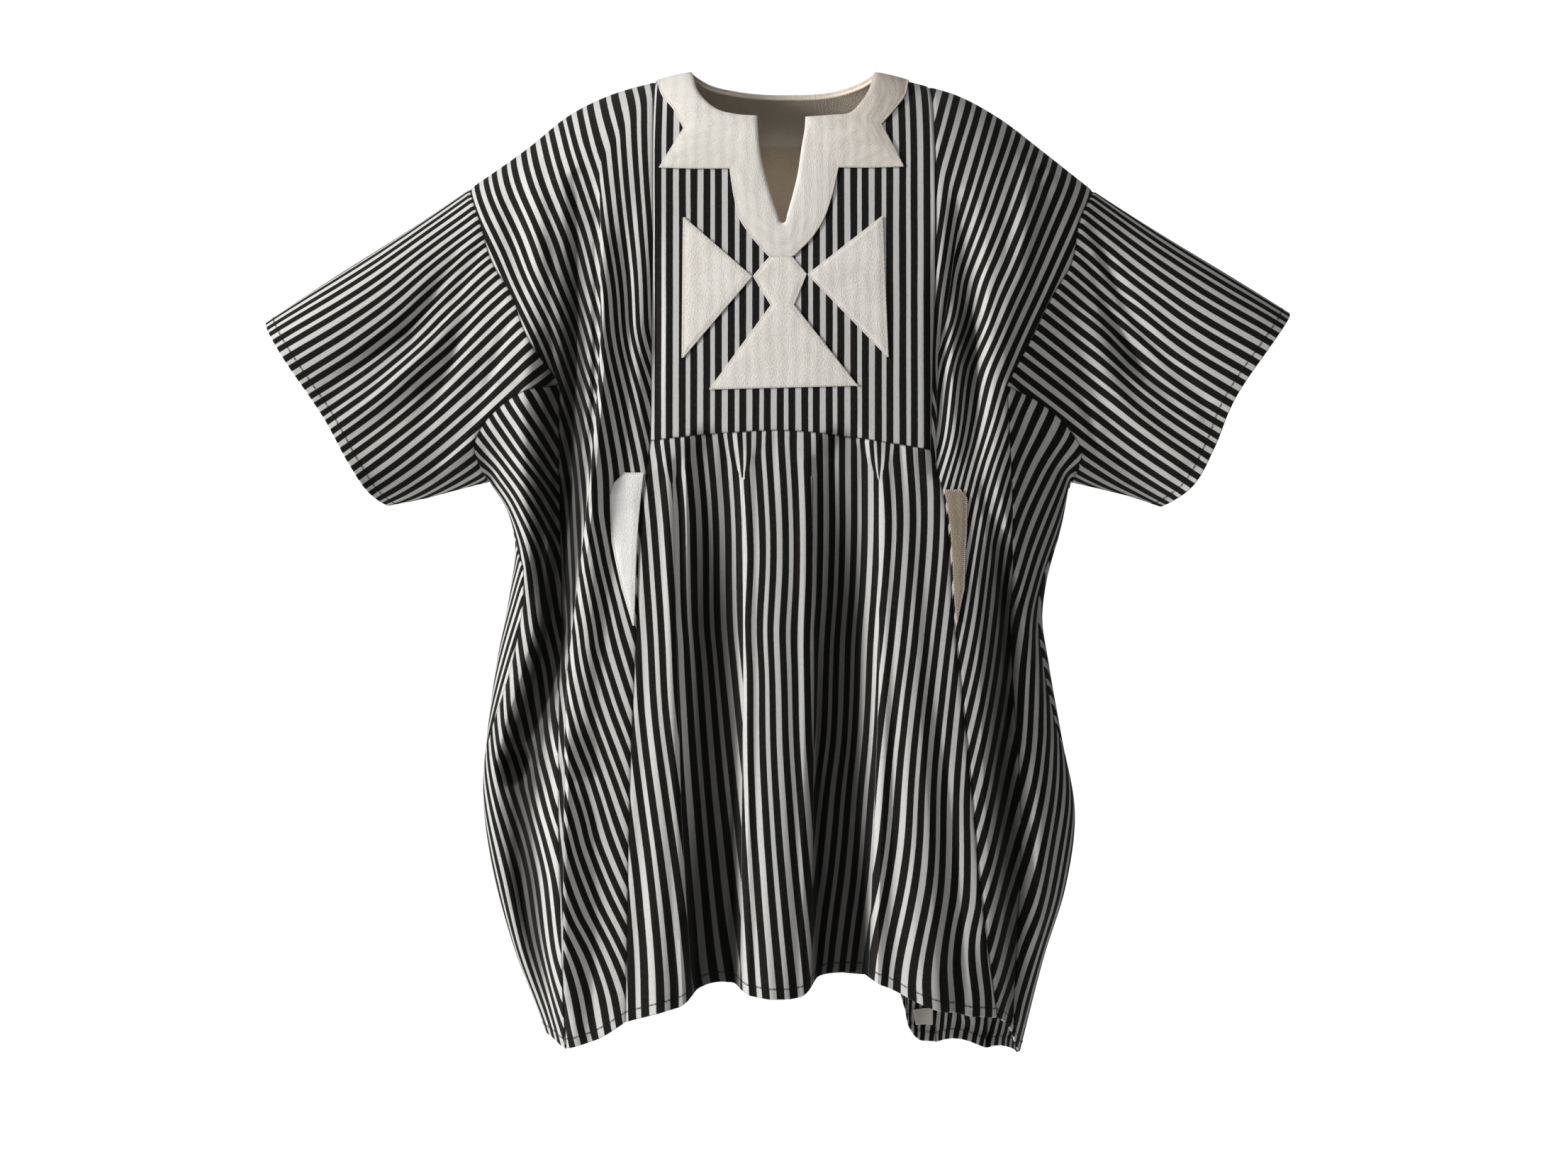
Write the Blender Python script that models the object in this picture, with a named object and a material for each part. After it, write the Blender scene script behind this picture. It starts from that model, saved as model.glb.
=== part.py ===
"""A fugu smock, worn and filled out with no wearer, as closed cloth solids.

Lengths in this file are millimetres and become metres when a mesh is made.
X runs to the viewer's right, Y to the back, Z up. The origin is the middle of the neck
between the two shoulder points, where the smock is held up.

The smock is two faces, a front and a back, that meet along a fold line: over the sleeves and
shoulders, and down the sides. Every cloth piece is a patch drawn in x and z on one of the
faces, then given its depth in y by one shared surface, so that neighbours fit at their seams.
"""

import math
from collections import namedtuple

import bmesh
import bpy
import numpy as np

METRES = 0.001
FRONT = -1.0
BACK = 1.0

# Cloth
WALL = 1.6
APPLIED_WALL = 1.2
SEAM_GAP = 0.3
APPLIED_GAP = 0.45

# How finely the pieces are divided
ROWS_UPPER = 10
ROWS_LOWER = 16
UPPER_REACH = 300
UPPER_TURN = 96
GORE_COLUMNS = 8
SIDE_COLUMNS = 9
SKIRT_COLUMNS = 30
BACK_SHOULDER_COLUMNS = 2
BACK_NECK_COLUMNS = 10
SLEEVE_COLUMNS = 11
PATCH_ROWS = 2
PATCH_COLUMNS = 3
FOLD_STEPS = 10
SEAM_STEPS = 60
SIDE_STEPS = 400
SHARP_ANGLE = 50

# Depth of the hollow form: one row for each height of the body
Section = namedtuple("Section", "name z front back turn crown")
SECTIONS = (
    Section("shoulder", 0, 92, 84, 100, 0.05),
    Section("chest", -200, 98, 92, 95, 0.10),
    Section("waist", -400, 104, 98, 85, 0.12),
    Section("hip", -680, 112, 106, 85, 0.14),
    Section("hem", -960, 120, 114, 90, 0.16),
)
SLEEVE_DEPTH = 56
SLEEVE_TURN = 62
SLEEVE_FORWARD = 20
FORWARD_START = 240
FORWARD_BLEND = 260
SLEEVE_START = 190
SLEEVE_BLEND = 150
CUFF_SPLIT = 0.42
CORNER_BOW = 16
CORNER_REACH = 5
CROWN_HALF_WIDTH = 250
CROWN_REACH = 1.2
FOLD_FADE = 26
OUTLINE_STEP = 2.5
TOUCHING = 0.05
SLOPE_STEP = 0.05
AT_THE_FOLD = 1.0
SPOTS_AT_ONCE = 1000

# Fold lines of the outline, where front and back meet
SHOULDER_LEFT = ((-91, 0), (-124, -8), (-172, -22), (-210, -41), (-248, -71), (-307, -113))
SLEEVE_TOP_LEFT = ((-307, -113), (-370, -157), (-440, -203), (-504, -246))
SLEEVE_BOTTOM_LEFT = ((-289, -401), (-320, -409), (-353, -418), (-388, -425))
SIDE_LEFT = ((-289, -401), (-272, -428), (-264, -458), (-269, -512), (-280, -570), (-290, -641),
             (-295, -699), (-288, -771), (-266, -855), (-234, -940), (-224, -975))
SHOULDER_RIGHT = ((92, 0), (144, -13), (168, -20), (212, -43), (256, -76), (305, -115))
SLEEVE_TOP_RIGHT = ((305, -115), (370, -158), (435, -199), (495, -237))
SLEEVE_BOTTOM_RIGHT = ((283, -401), (312, -408), (343, -416), (372, -426))
SIDE_RIGHT = ((283, -401), (275, -444), (260, -500), (256, -534), (262, -578), (275, -652),
              (288, -727), (279, -799), (258, -867), (240, -936), (228, -985))

# Seams, as (x, z) points from the top down or from the middle out
ARMHOLE_LEFT = ((-307, -113), (-293, -150), (-278, -195), (-260, -225), (-247, -260),
                (-214, -310))
ARMHOLE_RIGHT = ((305, -115), (287, -150), (277, -195), (257, -229), (240, -264), (213, -314))
GORE_TOP_LEFT = ((-214, -310), (-251, -319), (-271, -332), (-290, -352), (-297, -370),
                 (-289, -401))
GORE_TOP_RIGHT = ((213, -314), (241, -326), (258, -337), (276, -354), (288, -374), (283, -401))
GORE_TOP_BACK_LEFT = ((-214, -310), (-240, -336), (-266, -366), (-289, -401))
GORE_TOP_BACK_RIGHT = ((213, -314), (236, -338), (262, -368), (283, -401))
YOKE_SIDE_LEFT = ((-124, -8), (-123, -162), (-124, -268), (-125, -366))
YOKE_SIDE_RIGHT = ((144, -13), (146, -162), (144, -268), (141, -375))
YOKE_BOTTOM = ((-125, -366), (-63, -360), (7, -357), (71, -364), (141, -375))
SKIRT_SIDE_LEFT = ((-125, -366), (-132, -419), (-139, -566), (-143, -660), (-148, -914))
SKIRT_SIDE_RIGHT = ((141, -375), (151, -412), (162, -533), (173, -639), (192, -830), (205, -914))
GORE_SEAM_LEFT = ((-214, -310), (-217, -417), (-215, -554), (-211, -750), (-206, -942))
GORE_SEAM_RIGHT = ((213, -314), (219, -417), (220, -554), (228, -750), (223, -936))
BACK_UPPER_LEFT = ((-124, -8), (-122, -200), (-126, -366))
BACK_UPPER_RIGHT = ((124, -8), (126, -200), (134, -366))
BACK_LOWER_LEFT = ((-126, -366), (-140, -660), (-152, -931))
BACK_LOWER_RIGHT = ((134, -366), (146, -660), (160, -975))
GORE_SEAM_BACK_LEFT = ((-214, -310), (-212, -420), (-214, -600), (-212, -790), (-204, -938))
GORE_SEAM_BACK_RIGHT = ((213, -314), (211, -420), (214, -600), (216, -790), (208, -972))

# How far the side seam lies in front of the fold line, by height
SideSeam = namedtuple("SideSeam", "z left right")
SIDE_SEAMS = (
    SideSeam(-440, 0, 0),
    SideSeam(-470, 14, 6),
    SideSeam(-507, 36, 20),
    SideSeam(-545, 38, 20),
    SideSeam(-590, 28, 17),
    SideSeam(-640, 8, 9),
    SideSeam(-670, 0, 0),
)

# Where the side fold line ends at the front and back hems
FOOT_LEFT = {"front": -940, "back": -940}
FOOT_RIGHT = {"front": -960, "back": -964}
GORE_TURN = 70
GORE_RISE = 1.7
GORE_BOW_FADE = 9

# Hems of the centre pieces, from left to right
HEM_SKIRT = ((-148, -914), (-116, -904), (-90, -896), (-77, -885), (-50, -881), (-37, -886),
             (-7, -890), (22, -887), (36, -875), (55, -872), (76, -873), (92, -878),
             (131, -896), (164, -907), (205, -914))
HEM_BACK = ((-152, -931), (-120, -911), (-84, -900), (0, -896), (66, -898), (100, -903),
            (117, -914), (126, -938), (131, -960), (141, -973), (160, -975))

# Hems of the side pieces, from the outer seam to the inner seam
HEM_SIDE_LEFT = ((-206, -942), (-180, -934), (-148, -914))
HEM_SIDE_RIGHT = ((223, -936), (215, -922), (205, -914))
HEM_BACK_SIDE_LEFT = ((-204, -938), (-180, -933), (-152, -931))
HEM_BACK_SIDE_RIGHT = ((208, -972), (176, -968), (160, -975))

# Neck
NECK_BACK = ((-91, 0), (-72, -7), (-49, -11), (3, -14), (60, -10), (79, -5), (92, 0))
CUFF_LEFT = ((-504, -246), (-471, -295), (-438, -344), (-415, -387), (-398, -415), (-388, -425))
CUFF_RIGHT = ((495, -237), (463, -279), (432, -326), (413, -372), (392, -410), (372, -426))

# The front neck edge and the outer edge of its band, station by station
Station = namedtuple("Station", "name neck_x neck_z band_x band_z seam_share")
STATIONS_LEFT = (
    Station("shoulder", -91, 0, -122.5, -7.6, 0.0),
    Station("first turn", -90, -3, -122, -9.5, 0.006),
    Station("second turn", -88, -10, -121, -14, 0.028),
    Station("neck side", -83, -28, -116, -32, 0.075),
    Station("neck curve", -74, -41, -104, -49, 0.15),
    Station("notch", -63, -50, -94, -69, 0.225),
    Station("star point", -46, -55, -117, -107, 0.30),
    Station("neck corner", -25, -57, -84, -108, 0.42),
    Station("band corner", -24, -72, -50, -108, 0.58),
    Station("slit upper", -22, -92, -46, -134, 0.78),
    Station("slit lower", -16, -120, -39, -159, 1.0),
)
STATIONS_MIDDLE = (
    Station("slit foot left", -12.5, -132, -33, -168, 0.1),
    Station("point side left", -9, -143, -27, -176, 0.2),
    Station("point edge left", -5.5, -153, -19, -185, 0.3),
    Station("point left", -2, -161, -12, -192, 0.4),
    Station("point middle", 0, -161.5, -1, -192.5, 0.5),
    Station("point right", 2, -161, 9, -192, 0.6),
    Station("point edge right", 5, -153, 17, -185, 0.7),
    Station("point side right", 8, -143, 26, -176, 0.8),
    Station("slit foot right", 11, -132, 32, -168, 0.9),
)
STATIONS_RIGHT = (
    Station("slit lower", 14, -120, 38, -158, 1.0),
    Station("slit upper", 19, -88, 47, -133, 0.78),
    Station("band corner", 22, -70, 53, -107, 0.58),
    Station("neck corner", 23, -58, 84, -107, 0.42),
    Station("star point", 46, -56, 115, -106, 0.30),
    Station("notch", 66, -53, 94, -65, 0.225),
    Station("neck curve", 76, -42, 107, -49, 0.15),
    Station("neck side", 84, -28, 118, -32, 0.075),
    Station("second turn", 89, -10, 122, -14, 0.028),
    Station("first turn", 91, -3, 123, -9.8, 0.006),
    Station("shoulder", 92, 0, 123.5, -7.8, 0.0),
)
BAND_COLUMNS = 3
YOKE_COLUMNS = 5

# Rows of the back above the waist, as shares of its seam, and which of them end each trim
BACK_SHARES = (0.0, 0.004, 0.025, 0.085, 0.125, 0.21, 0.32, 0.45, 0.6, 0.8, 1.0)
BACK_BAND_ROW = 3
FACING_ROW = 4
LINING_ROW = 10

# Cut pieces laid on the yoke: their left and right edges from the top down, in straight
# runs, and how many rows each run has
Motif = namedtuple("Motif", "name left right rows columns")
MOTIFS = (
    Motif("applique_left", ((-94, -155), (-94.5, -211), (-95, -288)),
          ((-92.5, -155.3), (-28.8, -211), (-93.5, -287.2)), (4, 5), 4),
    Motif("applique_right", ((93.5, -154.3), (23.8, -209), (98.5, -286.2)),
          ((95, -154), (97, -209), (100, -287)), (4, 5), 4),
    Motif("applique_centre", ((-11.5, -193.6), (-27.8, -211), (-10.5, -236.8)),
          ((8.5, -193.6), (22.8, -209), (10.5, -236.8)), (2, 3), 4),
    Motif("applique_base", ((-10.5, -237.6), (-69, -318)), ((10.5, -237.6), (71, -314.5)), (6,), 6),
)

# Pocket welts: width beside the skirt seam, by share of the way down
Welt = namedtuple("Welt", "share left right")
WELTS = (
    Welt(0.0, 20, 17),
    Welt(0.06, 28, 22),
    Welt(0.15, 31, 20),
    Welt(0.45, 26, 15),
    Welt(0.75, 15, 12),
    Welt(1.0, 3, 3),
)
WELT_TOP_LEFT = -397
WELT_FOOT_LEFT = -541
WELT_TOP_RIGHT = -413
WELT_FOOT_RIGHT = -537
WELT_FROM_SEAM = 2.0
WELT_GAP = 0.7
WELT_ROWS = 12
WELT_COLUMNS = 4

# A small patch inside the back hem
PATCH_TOP = ((133, -941), (156, -941))
PATCH_FOOT = ((136, -957), (156, -958))

# Folds of the cloth: a centre line by its start, bend and end, the half-width at both ends,
# how far it stands out at start, bend and end (minus sinks in), and its flat share
Fold = namedtuple("Fold", "name start bend end width_start width_end heights flat")
FRONT_FOLDS = (
    Fold("skirt recess left", (-66, -385), (-64, -560), (-63, -990), 30, 34, (-3, -19, -40), 0.40),
    Fold("skirt recess right", (55, -385), (54, -560), (56, -990), 36, 38, (-3, -21, -44), 0.42),
    Fold("skirt fold left", (-112, -400), (-114, -600), (-118, -990), 16, 24, (0, 5, 9), 0.1),
    Fold("skirt fold middle", (-9, -400), (-8, -600), (-6, -990), 22, 32, (1, 6, 10), 0.2),
    Fold("skirt fold right", (108, -400), (124, -640), (140, -990), 20, 34, (1, 8, 12), 0.2),
    Fold("skirt dip right", (128, -560), (150, -700), (168, -990), 12, 16, (0, -6, -9), 0.1),
    Fold("yoke pull left", (-123, -160), (-122, -290), (-124, -385), 13, 12, (-1, -8, -3), 0.0),
    Fold("yoke pull right", (146, -170), (145, -300), (144, -395), 13, 12, (-1, -9, -3), 0.0),
    Fold("valley left", (-206, -150), (-215, -410), (-228, -680), 32, 46, (-4, -44, -12), 0.12),
    Fold("ridge left", (-172, -180), (-184, -420), (-203, -660), 26, 28, (4, 15, 10), 0.1),
    Fold("dip beside ridge left", (-148, -150), (-153, -270), (-156, -365), 14, 14, (-2, -7, -1),
         0.0),
    Fold("gore ridge left", (-205, -650), (-207, -780), (-206, -990), 26, 30, (9, 18, 20), 0.1),
    Fold("gore hollow left", (-250, -640), (-248, -770), (-230, -930), 26, 24, (-10, -24, -12),
         0.1),
    Fold("side seam ridge left", (-264, -452), (-240, -528), (-262, -630), 20, 24, (0, 20, 6),
         0.0),
    Fold("valley right", (172, -150), (177, -280), (182, -380), 20, 20, (-4, -24, -4), 0.1),
    Fold("ridge right", (202, -170), (208, -350), (210, -480), 22, 26, (3, 9, 4), 0.1),
    Fold("gore hollow right", (208, -470), (212, -640), (228, -900), 24, 26, (-8, -25, -16), 0.1),
    Fold("side seam ridge right", (264, -455), (240, -532), (262, -650), 20, 24, (0, 16, 5), 0.0),
    Fold("outer swell right", (252, -650), (250, -760), (232, -900), 18, 16, (4, 11, 4), 0.1),
    Fold("shoulder drop left", (-240, -100), (-232, -170), (-222, -250), 16, 20, (3, 8, 4), 0.0),
    Fold("shoulder drop right", (236, -98), (230, -170), (220, -250), 16, 20, (3, 8, 4), 0.0),
    Fold("shoulder hollow left", (-262, -112), (-258, -160), (-246, -215), 15, 17, (-1, -5, -2),
         0.0),
    Fold("shoulder hollow right", (262, -115), (256, -160), (244, -215), 15, 17, (-1, -5, -2), 0.0),
    Fold("sleeve pinch left", (-312, -196), (-350, -250), (-428, -312), 17, 22, (-3, -13, -3),
         0.0),
    Fold("sleeve swell left", (-318, -246), (-366, -306), (-420, -350), 20, 22, (3, 8, 3), 0.0),
    Fold("sleeve crease left", (-266, -240), (-277, -280), (-297, -335), 15, 16, (-1, -6, -2), 0.0),
    Fold("sleeve pinch right", (306, -196), (345, -290), (418, -343), 17, 22, (-3, -13, -3), 0.0),
    Fold("sleeve swell right", (296, -250), (322, -322), (380, -380), 20, 22, (3, 8, 3), 0.0),
    Fold("underarm edge left", (-299, -366), (-325, -394), (-352, -410), 14, 12, (4, 6, 2), 0.0),
    Fold("underarm edge right", (286, -372), (314, -392), (342, -407), 14, 12, (4, 6, 2), 0.0),
)
BACK_FOLDS = (
    Fold("back hollow left", (-78, -420), (-76, -640), (-82, -990), 26, 36, (-3, -16, -32), 0.3),
    Fold("back hollow right", (70, -400), (72, -620), (78, -990), 28, 38, (-3, -18, -34), 0.3),
    Fold("back swell", (-6, -420), (-4, -640), (-2, -990), 24, 34, (1, 7, 12), 0.2),
    Fold("back droop", (142, -700), (148, -860), (156, -1010), 18, 30, (2, 10, 18), 0.1),
    Fold("blade fold left", (-150, -110), (-158, -300), (-166, -520), 18, 26, (3, 12, 6), 0.1),
    Fold("blade fold right", (160, -120), (168, -300), (172, -540), 18, 26, (3, 11, 6), 0.1),
    Fold("back valley left", (-196, -200), (-204, -400), (-212, -640), 18, 28, (-4, -34, -12),
         0.1),
    Fold("back valley right", (200, -190), (206, -410), (212, -660), 18, 28, (-4, -32, -12), 0.1),
    Fold("back gore swell left", (-236, -600), (-240, -760), (-224, -940), 20, 20, (4, 12, 8),
         0.1),
    Fold("back gore swell right", (236, -600), (242, -760), (222, -960), 20, 20, (4, 12, 8), 0.1),
    Fold("back sleeve pinch left", (-306, -190), (-352, -262), (-420, -318), 17, 22, (-3, -12, -3),
         0.0),
    Fold("back sleeve pinch right", (304, -190), (350, -266), (412, -330), 17, 22, (-3, -12, -3),
         0.0),
    Fold("back neck hollow", (-2, -60), (0, -130), (2, -220), 26, 30, (-2, -5, -2), 0.2),
)

# Finishes
Finish = namedtuple("Finish", "name colour roughness")
STRIPED_CLOTH = Finish("striped_cloth", (0.33, 0.32, 0.31), 0.88)
CREAM_CLOTH = Finish("cream_cloth", (0.78, 0.75, 0.69), 0.86)
LINING_CLOTH = Finish("lining_cloth", (0.55, 0.49, 0.42), 0.90)


class Path:
    """A smooth line through a few points in x and z, read at shares of its length."""

    def __init__(self, points):
        self.points = np.array(points, dtype=float)
        steps = np.linalg.norm(np.diff(self.points, axis=0), axis=1)
        self.length = float(steps.sum())
        self.knots = np.concatenate([[0.0], np.cumsum(steps)]) / self.length
        slopes = np.diff(self.points, axis=0) / np.diff(self.knots)[:, None]
        self.tangents = np.empty_like(self.points)
        self.tangents[0] = slopes[0]
        self.tangents[-1] = slopes[-1]
        spans = np.diff(self.knots)
        for i in range(1, len(self.points) - 1):
            share = spans[i - 1] / (spans[i - 1] + spans[i])
            self.tangents[i] = (1 - share) * slopes[i - 1] + share * slopes[i]

    def at(self, shares):
        """Points at the given shares, from 0 at the start to 1 at the end."""
        shares = np.atleast_1d(np.asarray(shares, dtype=float))
        span = np.clip(np.searchsorted(self.knots, shares, side="right") - 1,
                       0, len(self.knots) - 2)
        width = (self.knots[span + 1] - self.knots[span])[:, None]
        t = (shares[:, None] - self.knots[span][:, None]) / width
        start, end = self.points[span], self.points[span + 1]
        leave, arrive = self.tangents[span] * width, self.tangents[span + 1] * width
        return ((2 * t**3 - 3 * t**2 + 1) * start + (t**3 - 2 * t**2 + t) * leave
                + (3 * t**2 - 2 * t**3) * end + (t**3 - t**2) * arrive)


def smooth_step(value):
    """0 below 0, 1 above 1, and a soft rise between."""
    t = np.clip(value, 0.0, 1.0)
    return t * t * (3 - 2 * t)


def even(count):
    """Shares of equal steps."""
    return np.linspace(0.0, 1.0, count + 1)


def from_arc(arc, turn):
    """Distance in from the fold line after a walk over its round edge."""
    arc = np.asarray(arc, dtype=float)
    quarter = turn * math.pi / 2
    return np.where(arc < quarter, turn * (1 - np.cos(np.minimum(arc, quarter) / turn)),
                    arc - quarter + turn)


def to_arc(distance, turn):
    """The walk over the round edge that ends a distance in from the fold line."""
    distance = np.asarray(distance, dtype=float)
    bent = turn * np.arccos(np.clip(1 - distance / turn, -1.0, 1.0))
    return np.where(distance < turn, bent, distance - turn + turn * math.pi / 2)


def shares_from_fold(count, reach, turn):
    """Shares of a line that starts on the fold, even over the rounded cloth."""
    return from_arc(even(count) * to_arc(reach, turn), turn) / reach


def shares_between_folds(steps, reach, turn):
    """Shares of a line that starts and ends on the fold, at steps of its walk."""
    half = to_arc(reach / 2, turn)
    arcs = steps * 2 * half
    near = from_arc(arcs, turn)
    far = reach - from_arc(2 * half - arcs, turn)
    return np.where(arcs <= half, near, far) / reach


def fold_outline():
    """Short straight steps along the fold lines: their starts, runs and outward directions."""
    up, down, left, right = (0, 1), (0, -1), (-1, 0), (1, 0)
    lines = ((SHOULDER_LEFT, up), (SLEEVE_TOP_LEFT, up), (SLEEVE_BOTTOM_LEFT, down),
             (SIDE_LEFT, left), (SHOULDER_RIGHT, up), (SLEEVE_TOP_RIGHT, up),
             (SLEEVE_BOTTOM_RIGHT, down), (SIDE_RIGHT, right),
             ((SHOULDER_LEFT[0], SHOULDER_RIGHT[0]), up))
    starts = []
    runs = []
    outward = []
    for points, side in lines:
        path = Path(points)
        dots = path.at(even(max(2, round(path.length / OUTLINE_STEP))))
        run = np.diff(dots, axis=0)
        square = np.stack([-run[:, 1], run[:, 0]], axis=1)
        square /= np.linalg.norm(square, axis=1)[:, None]
        starts.append(dots[:-1])
        runs.append(run)
        outward.append(square * np.sign(square @ np.array(side))[:, None])
    return np.concatenate(starts), np.concatenate(runs), np.concatenate(outward)


class Surface:
    """The outer face of the smock: depth and outward direction at any x and z."""

    def __init__(self):
        self.starts, self.runs, self.outward = fold_outline()
        self.squares = (self.runs**2).sum(axis=1)
        self.fold_lines = {FRONT: self.trace(FRONT_FOLDS), BACK: self.trace(BACK_FOLDS)}

    @staticmethod
    def trace(folds):
        """Each fold's centre line as short steps."""
        return [Path((fold.start, fold.bend, fold.end)).at(even(FOLD_STEPS)) for fold in folds]

    def edge(self, x, z):
        """Distance to the fold line and the direction from it into the cloth."""
        distance = np.empty_like(x)
        away = np.empty((len(x), 2))
        for first in range(0, len(x), SPOTS_AT_ONCE):
            block = slice(first, first + SPOTS_AT_ONCE)
            dots = np.stack([x[block], z[block]], axis=1)
            offset = dots[:, None, :] - self.starts[None, :, :]
            share = np.clip((offset * self.runs).sum(axis=2) / self.squares, 0, 1)
            gap = offset - share[:, :, None] * self.runs
            lengths = np.sqrt((gap**2).sum(axis=2))
            nearest = lengths.argmin(axis=1)
            rows = np.arange(len(dots))
            distance[block] = lengths[rows, nearest]
            inward = gap[rows, nearest] / np.maximum(lengths[rows, nearest], 1e-9)[:, None]
            touching = (lengths[rows, nearest] < TOUCHING)[:, None]
            away[block] = np.where(touching, -self.outward[nearest], inward)
        return distance, away

    @staticmethod
    def form(x, z, face):
        """Depth, turning radius and forward lean of the plain hollow form."""
        heights = [section.z for section in reversed(SECTIONS)]

        def read(field):
            values = [getattr(section, field) for section in reversed(SECTIONS)]
            return np.interp(z, heights, values)

        reach = np.abs(x)
        sleeve = smooth_step((reach - SLEEVE_START) / SLEEVE_BLEND)
        crown = 1 - read("crown") * np.minimum(reach / CROWN_HALF_WIDTH, CROWN_REACH)**2
        body = read("front" if face == FRONT else "back") * crown
        depth = body + (SLEEVE_DEPTH - body) * sleeve
        turn = read("turn") + (SLEEVE_TURN - read("turn")) * sleeve
        lean = -SLEEVE_FORWARD * smooth_step((reach - FORWARD_START) / FORWARD_BLEND)
        return depth, turn, lean

    def folds(self, x, z, face):
        """How far the folds stand out of the plain form."""
        total = np.zeros_like(x)
        rows = FRONT_FOLDS if face == FRONT else BACK_FOLDS
        for fold, line in zip(rows, self.fold_lines[face]):
            starts = line[:-1]
            runs = line[1:] - starts
            offset = np.stack([x, z], axis=1)[:, None, :] - starts[None, :, :]
            share = np.clip((offset * runs).sum(axis=2) / (runs**2).sum(axis=1), 0, 1)
            gap = np.linalg.norm(offset - share[:, :, None] * runs, axis=2)
            nearest = gap.argmin(axis=1)
            picked = np.arange(len(x))
            along = (nearest + share[picked, nearest]) / len(runs)
            width = fold.width_start + (fold.width_end - fold.width_start) * along
            height = np.interp(along, (0, 0.5, 1), fold.heights)
            across = gap[picked, nearest] / width
            total += height * (1 - smooth_step((across - fold.flat) / (1 - fold.flat)))
        return total

    def depth(self, x, z, face, on_fold):
        """Depth in y, with the distance and direction from the fold line."""
        distance, away = self.edge(x, z)
        distance = np.where(on_fold, 0.0, distance)
        depth, turn, lean = self.form(x, z, face)
        inner = np.clip(1 - distance / turn, 0.0, 1.0)
        rise = np.sqrt(1 - inner**2)
        swell = self.folds(x, z, face) * smooth_step(distance / FOLD_FADE)
        y = lean + face * np.maximum(depth * rise + swell, SEAM_GAP / 2)
        return y, distance, away, depth, turn

    def read(self, spots, face, on_fold):
        """Outer points and outward directions for spots in x and z on one face."""
        x, z = spots[:, 0], spots[:, 1]
        y, distance, away, depth, turn = self.depth(x, z, face, on_fold)
        free = np.zeros(len(x), dtype=bool)
        slope_x = (self.depth(x + SLOPE_STEP, z, face, free)[0]
                   - self.depth(x - SLOPE_STEP, z, face, free)[0]) / (2 * SLOPE_STEP)
        slope_z = (self.depth(x, z + SLOPE_STEP, face, free)[0]
                   - self.depth(x, z - SLOPE_STEP, face, free)[0]) / (2 * SLOPE_STEP)
        normal = face * np.stack([-slope_x, np.ones_like(x), -slope_z], axis=1)
        inner = np.clip(1 - distance / turn, 0.0, 1.0)
        rise = np.sqrt(1 - inner**2)
        edge_normal = np.stack([-away[:, 0] * inner / turn, face * rise / depth,
                                -away[:, 1] * inner / turn], axis=1)
        close = (distance < AT_THE_FOLD)[:, None]
        normal = np.where(close, edge_normal, normal)
        normal /= np.linalg.norm(normal, axis=1)[:, None]
        return np.stack([x, y, z], axis=1), normal


def lengthwise(line):
    """Share of a line's length reached at each of its points."""
    steps = np.concatenate([[0.0], np.cumsum(np.linalg.norm(np.diff(line, axis=0), axis=1))])
    return steps / steps[-1]


def coons(top, bottom, left, right):
    """A grid that fits four edges; left and right run from top to bottom."""
    u = (lengthwise(top) + lengthwise(bottom)) / 2
    v = (lengthwise(left) + lengthwise(right)) / 2
    u = u[None, :, None]
    v = v[:, None, None]
    ruled = (1 - v) * top[None] + v * bottom[None]
    cross = (1 - u) * left[:, None] + u * right[:, None]
    corners = ((1 - u) * (1 - v) * top[0] + u * (1 - v) * top[-1]
               + (1 - u) * v * bottom[0] + u * v * bottom[-1])
    return ruled + cross - corners


def across(inner, outer, count):
    """A grid of straight rows from an inner line to an outer line."""
    shares = even(count)[None, :, None]
    return inner[:, None] * (1 - shares) + outer[:, None] * shares


def join(*lines):
    """Lines end to end, each shared point once."""
    return np.concatenate([lines[0]] + [line[1:] for line in lines[1:]])


def straight_runs(points, counts):
    """Straight runs between corner points, each divided into its count of steps."""
    points = np.array(points, dtype=float)
    return join(*(across(points[i:i + 1], points[i + 1:i + 2], count)[0]
                  for i, count in enumerate(counts)))


def inset(spots, edges):
    """Draws the named edges of a grid in by half a seam gap."""
    places = {
        "top": ((0, slice(None)), (1, slice(None))),
        "bottom": ((-1, slice(None)), (-2, slice(None))),
        "left": ((slice(None), 0), (slice(None), 1)),
        "right": ((slice(None), -1), (slice(None), -2)),
    }
    moves = np.zeros_like(spots)
    for name in edges:
        edge, neighbour = places[name]
        line = spots[edge]
        run = np.gradient(line, axis=0)
        side = np.stack([-run[:, 1], run[:, 0]], axis=1)
        side /= np.maximum(np.linalg.norm(side, axis=1), 1e-9)[:, None]
        inward = np.sign((side * (spots[neighbour] - line)).sum())
        moves[edge] += side * inward * SEAM_GAP / 2
    return spots + moves


def fold_mask(spots, rows=(), columns=()):
    """Marks the rows and columns of a grid that lie on the fold line."""
    mask = np.zeros(spots.shape[:2], dtype=bool)
    for row in rows:
        mask[row] = True
    for column in columns:
        mask[:, column] = True
    return mask


def material_for(name, finish):
    """A plain cloth material of a piece's own."""
    material = bpy.data.materials.new(name)
    material.use_nodes = True
    shader = material.node_tree.nodes["Principled BSDF"]
    shader.inputs["Base Color"].default_value = (*finish.colour, 1.0)
    shader.inputs["Roughness"].default_value = finish.roughness
    shader.inputs["Metallic"].default_value = 0.0
    return material


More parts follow.
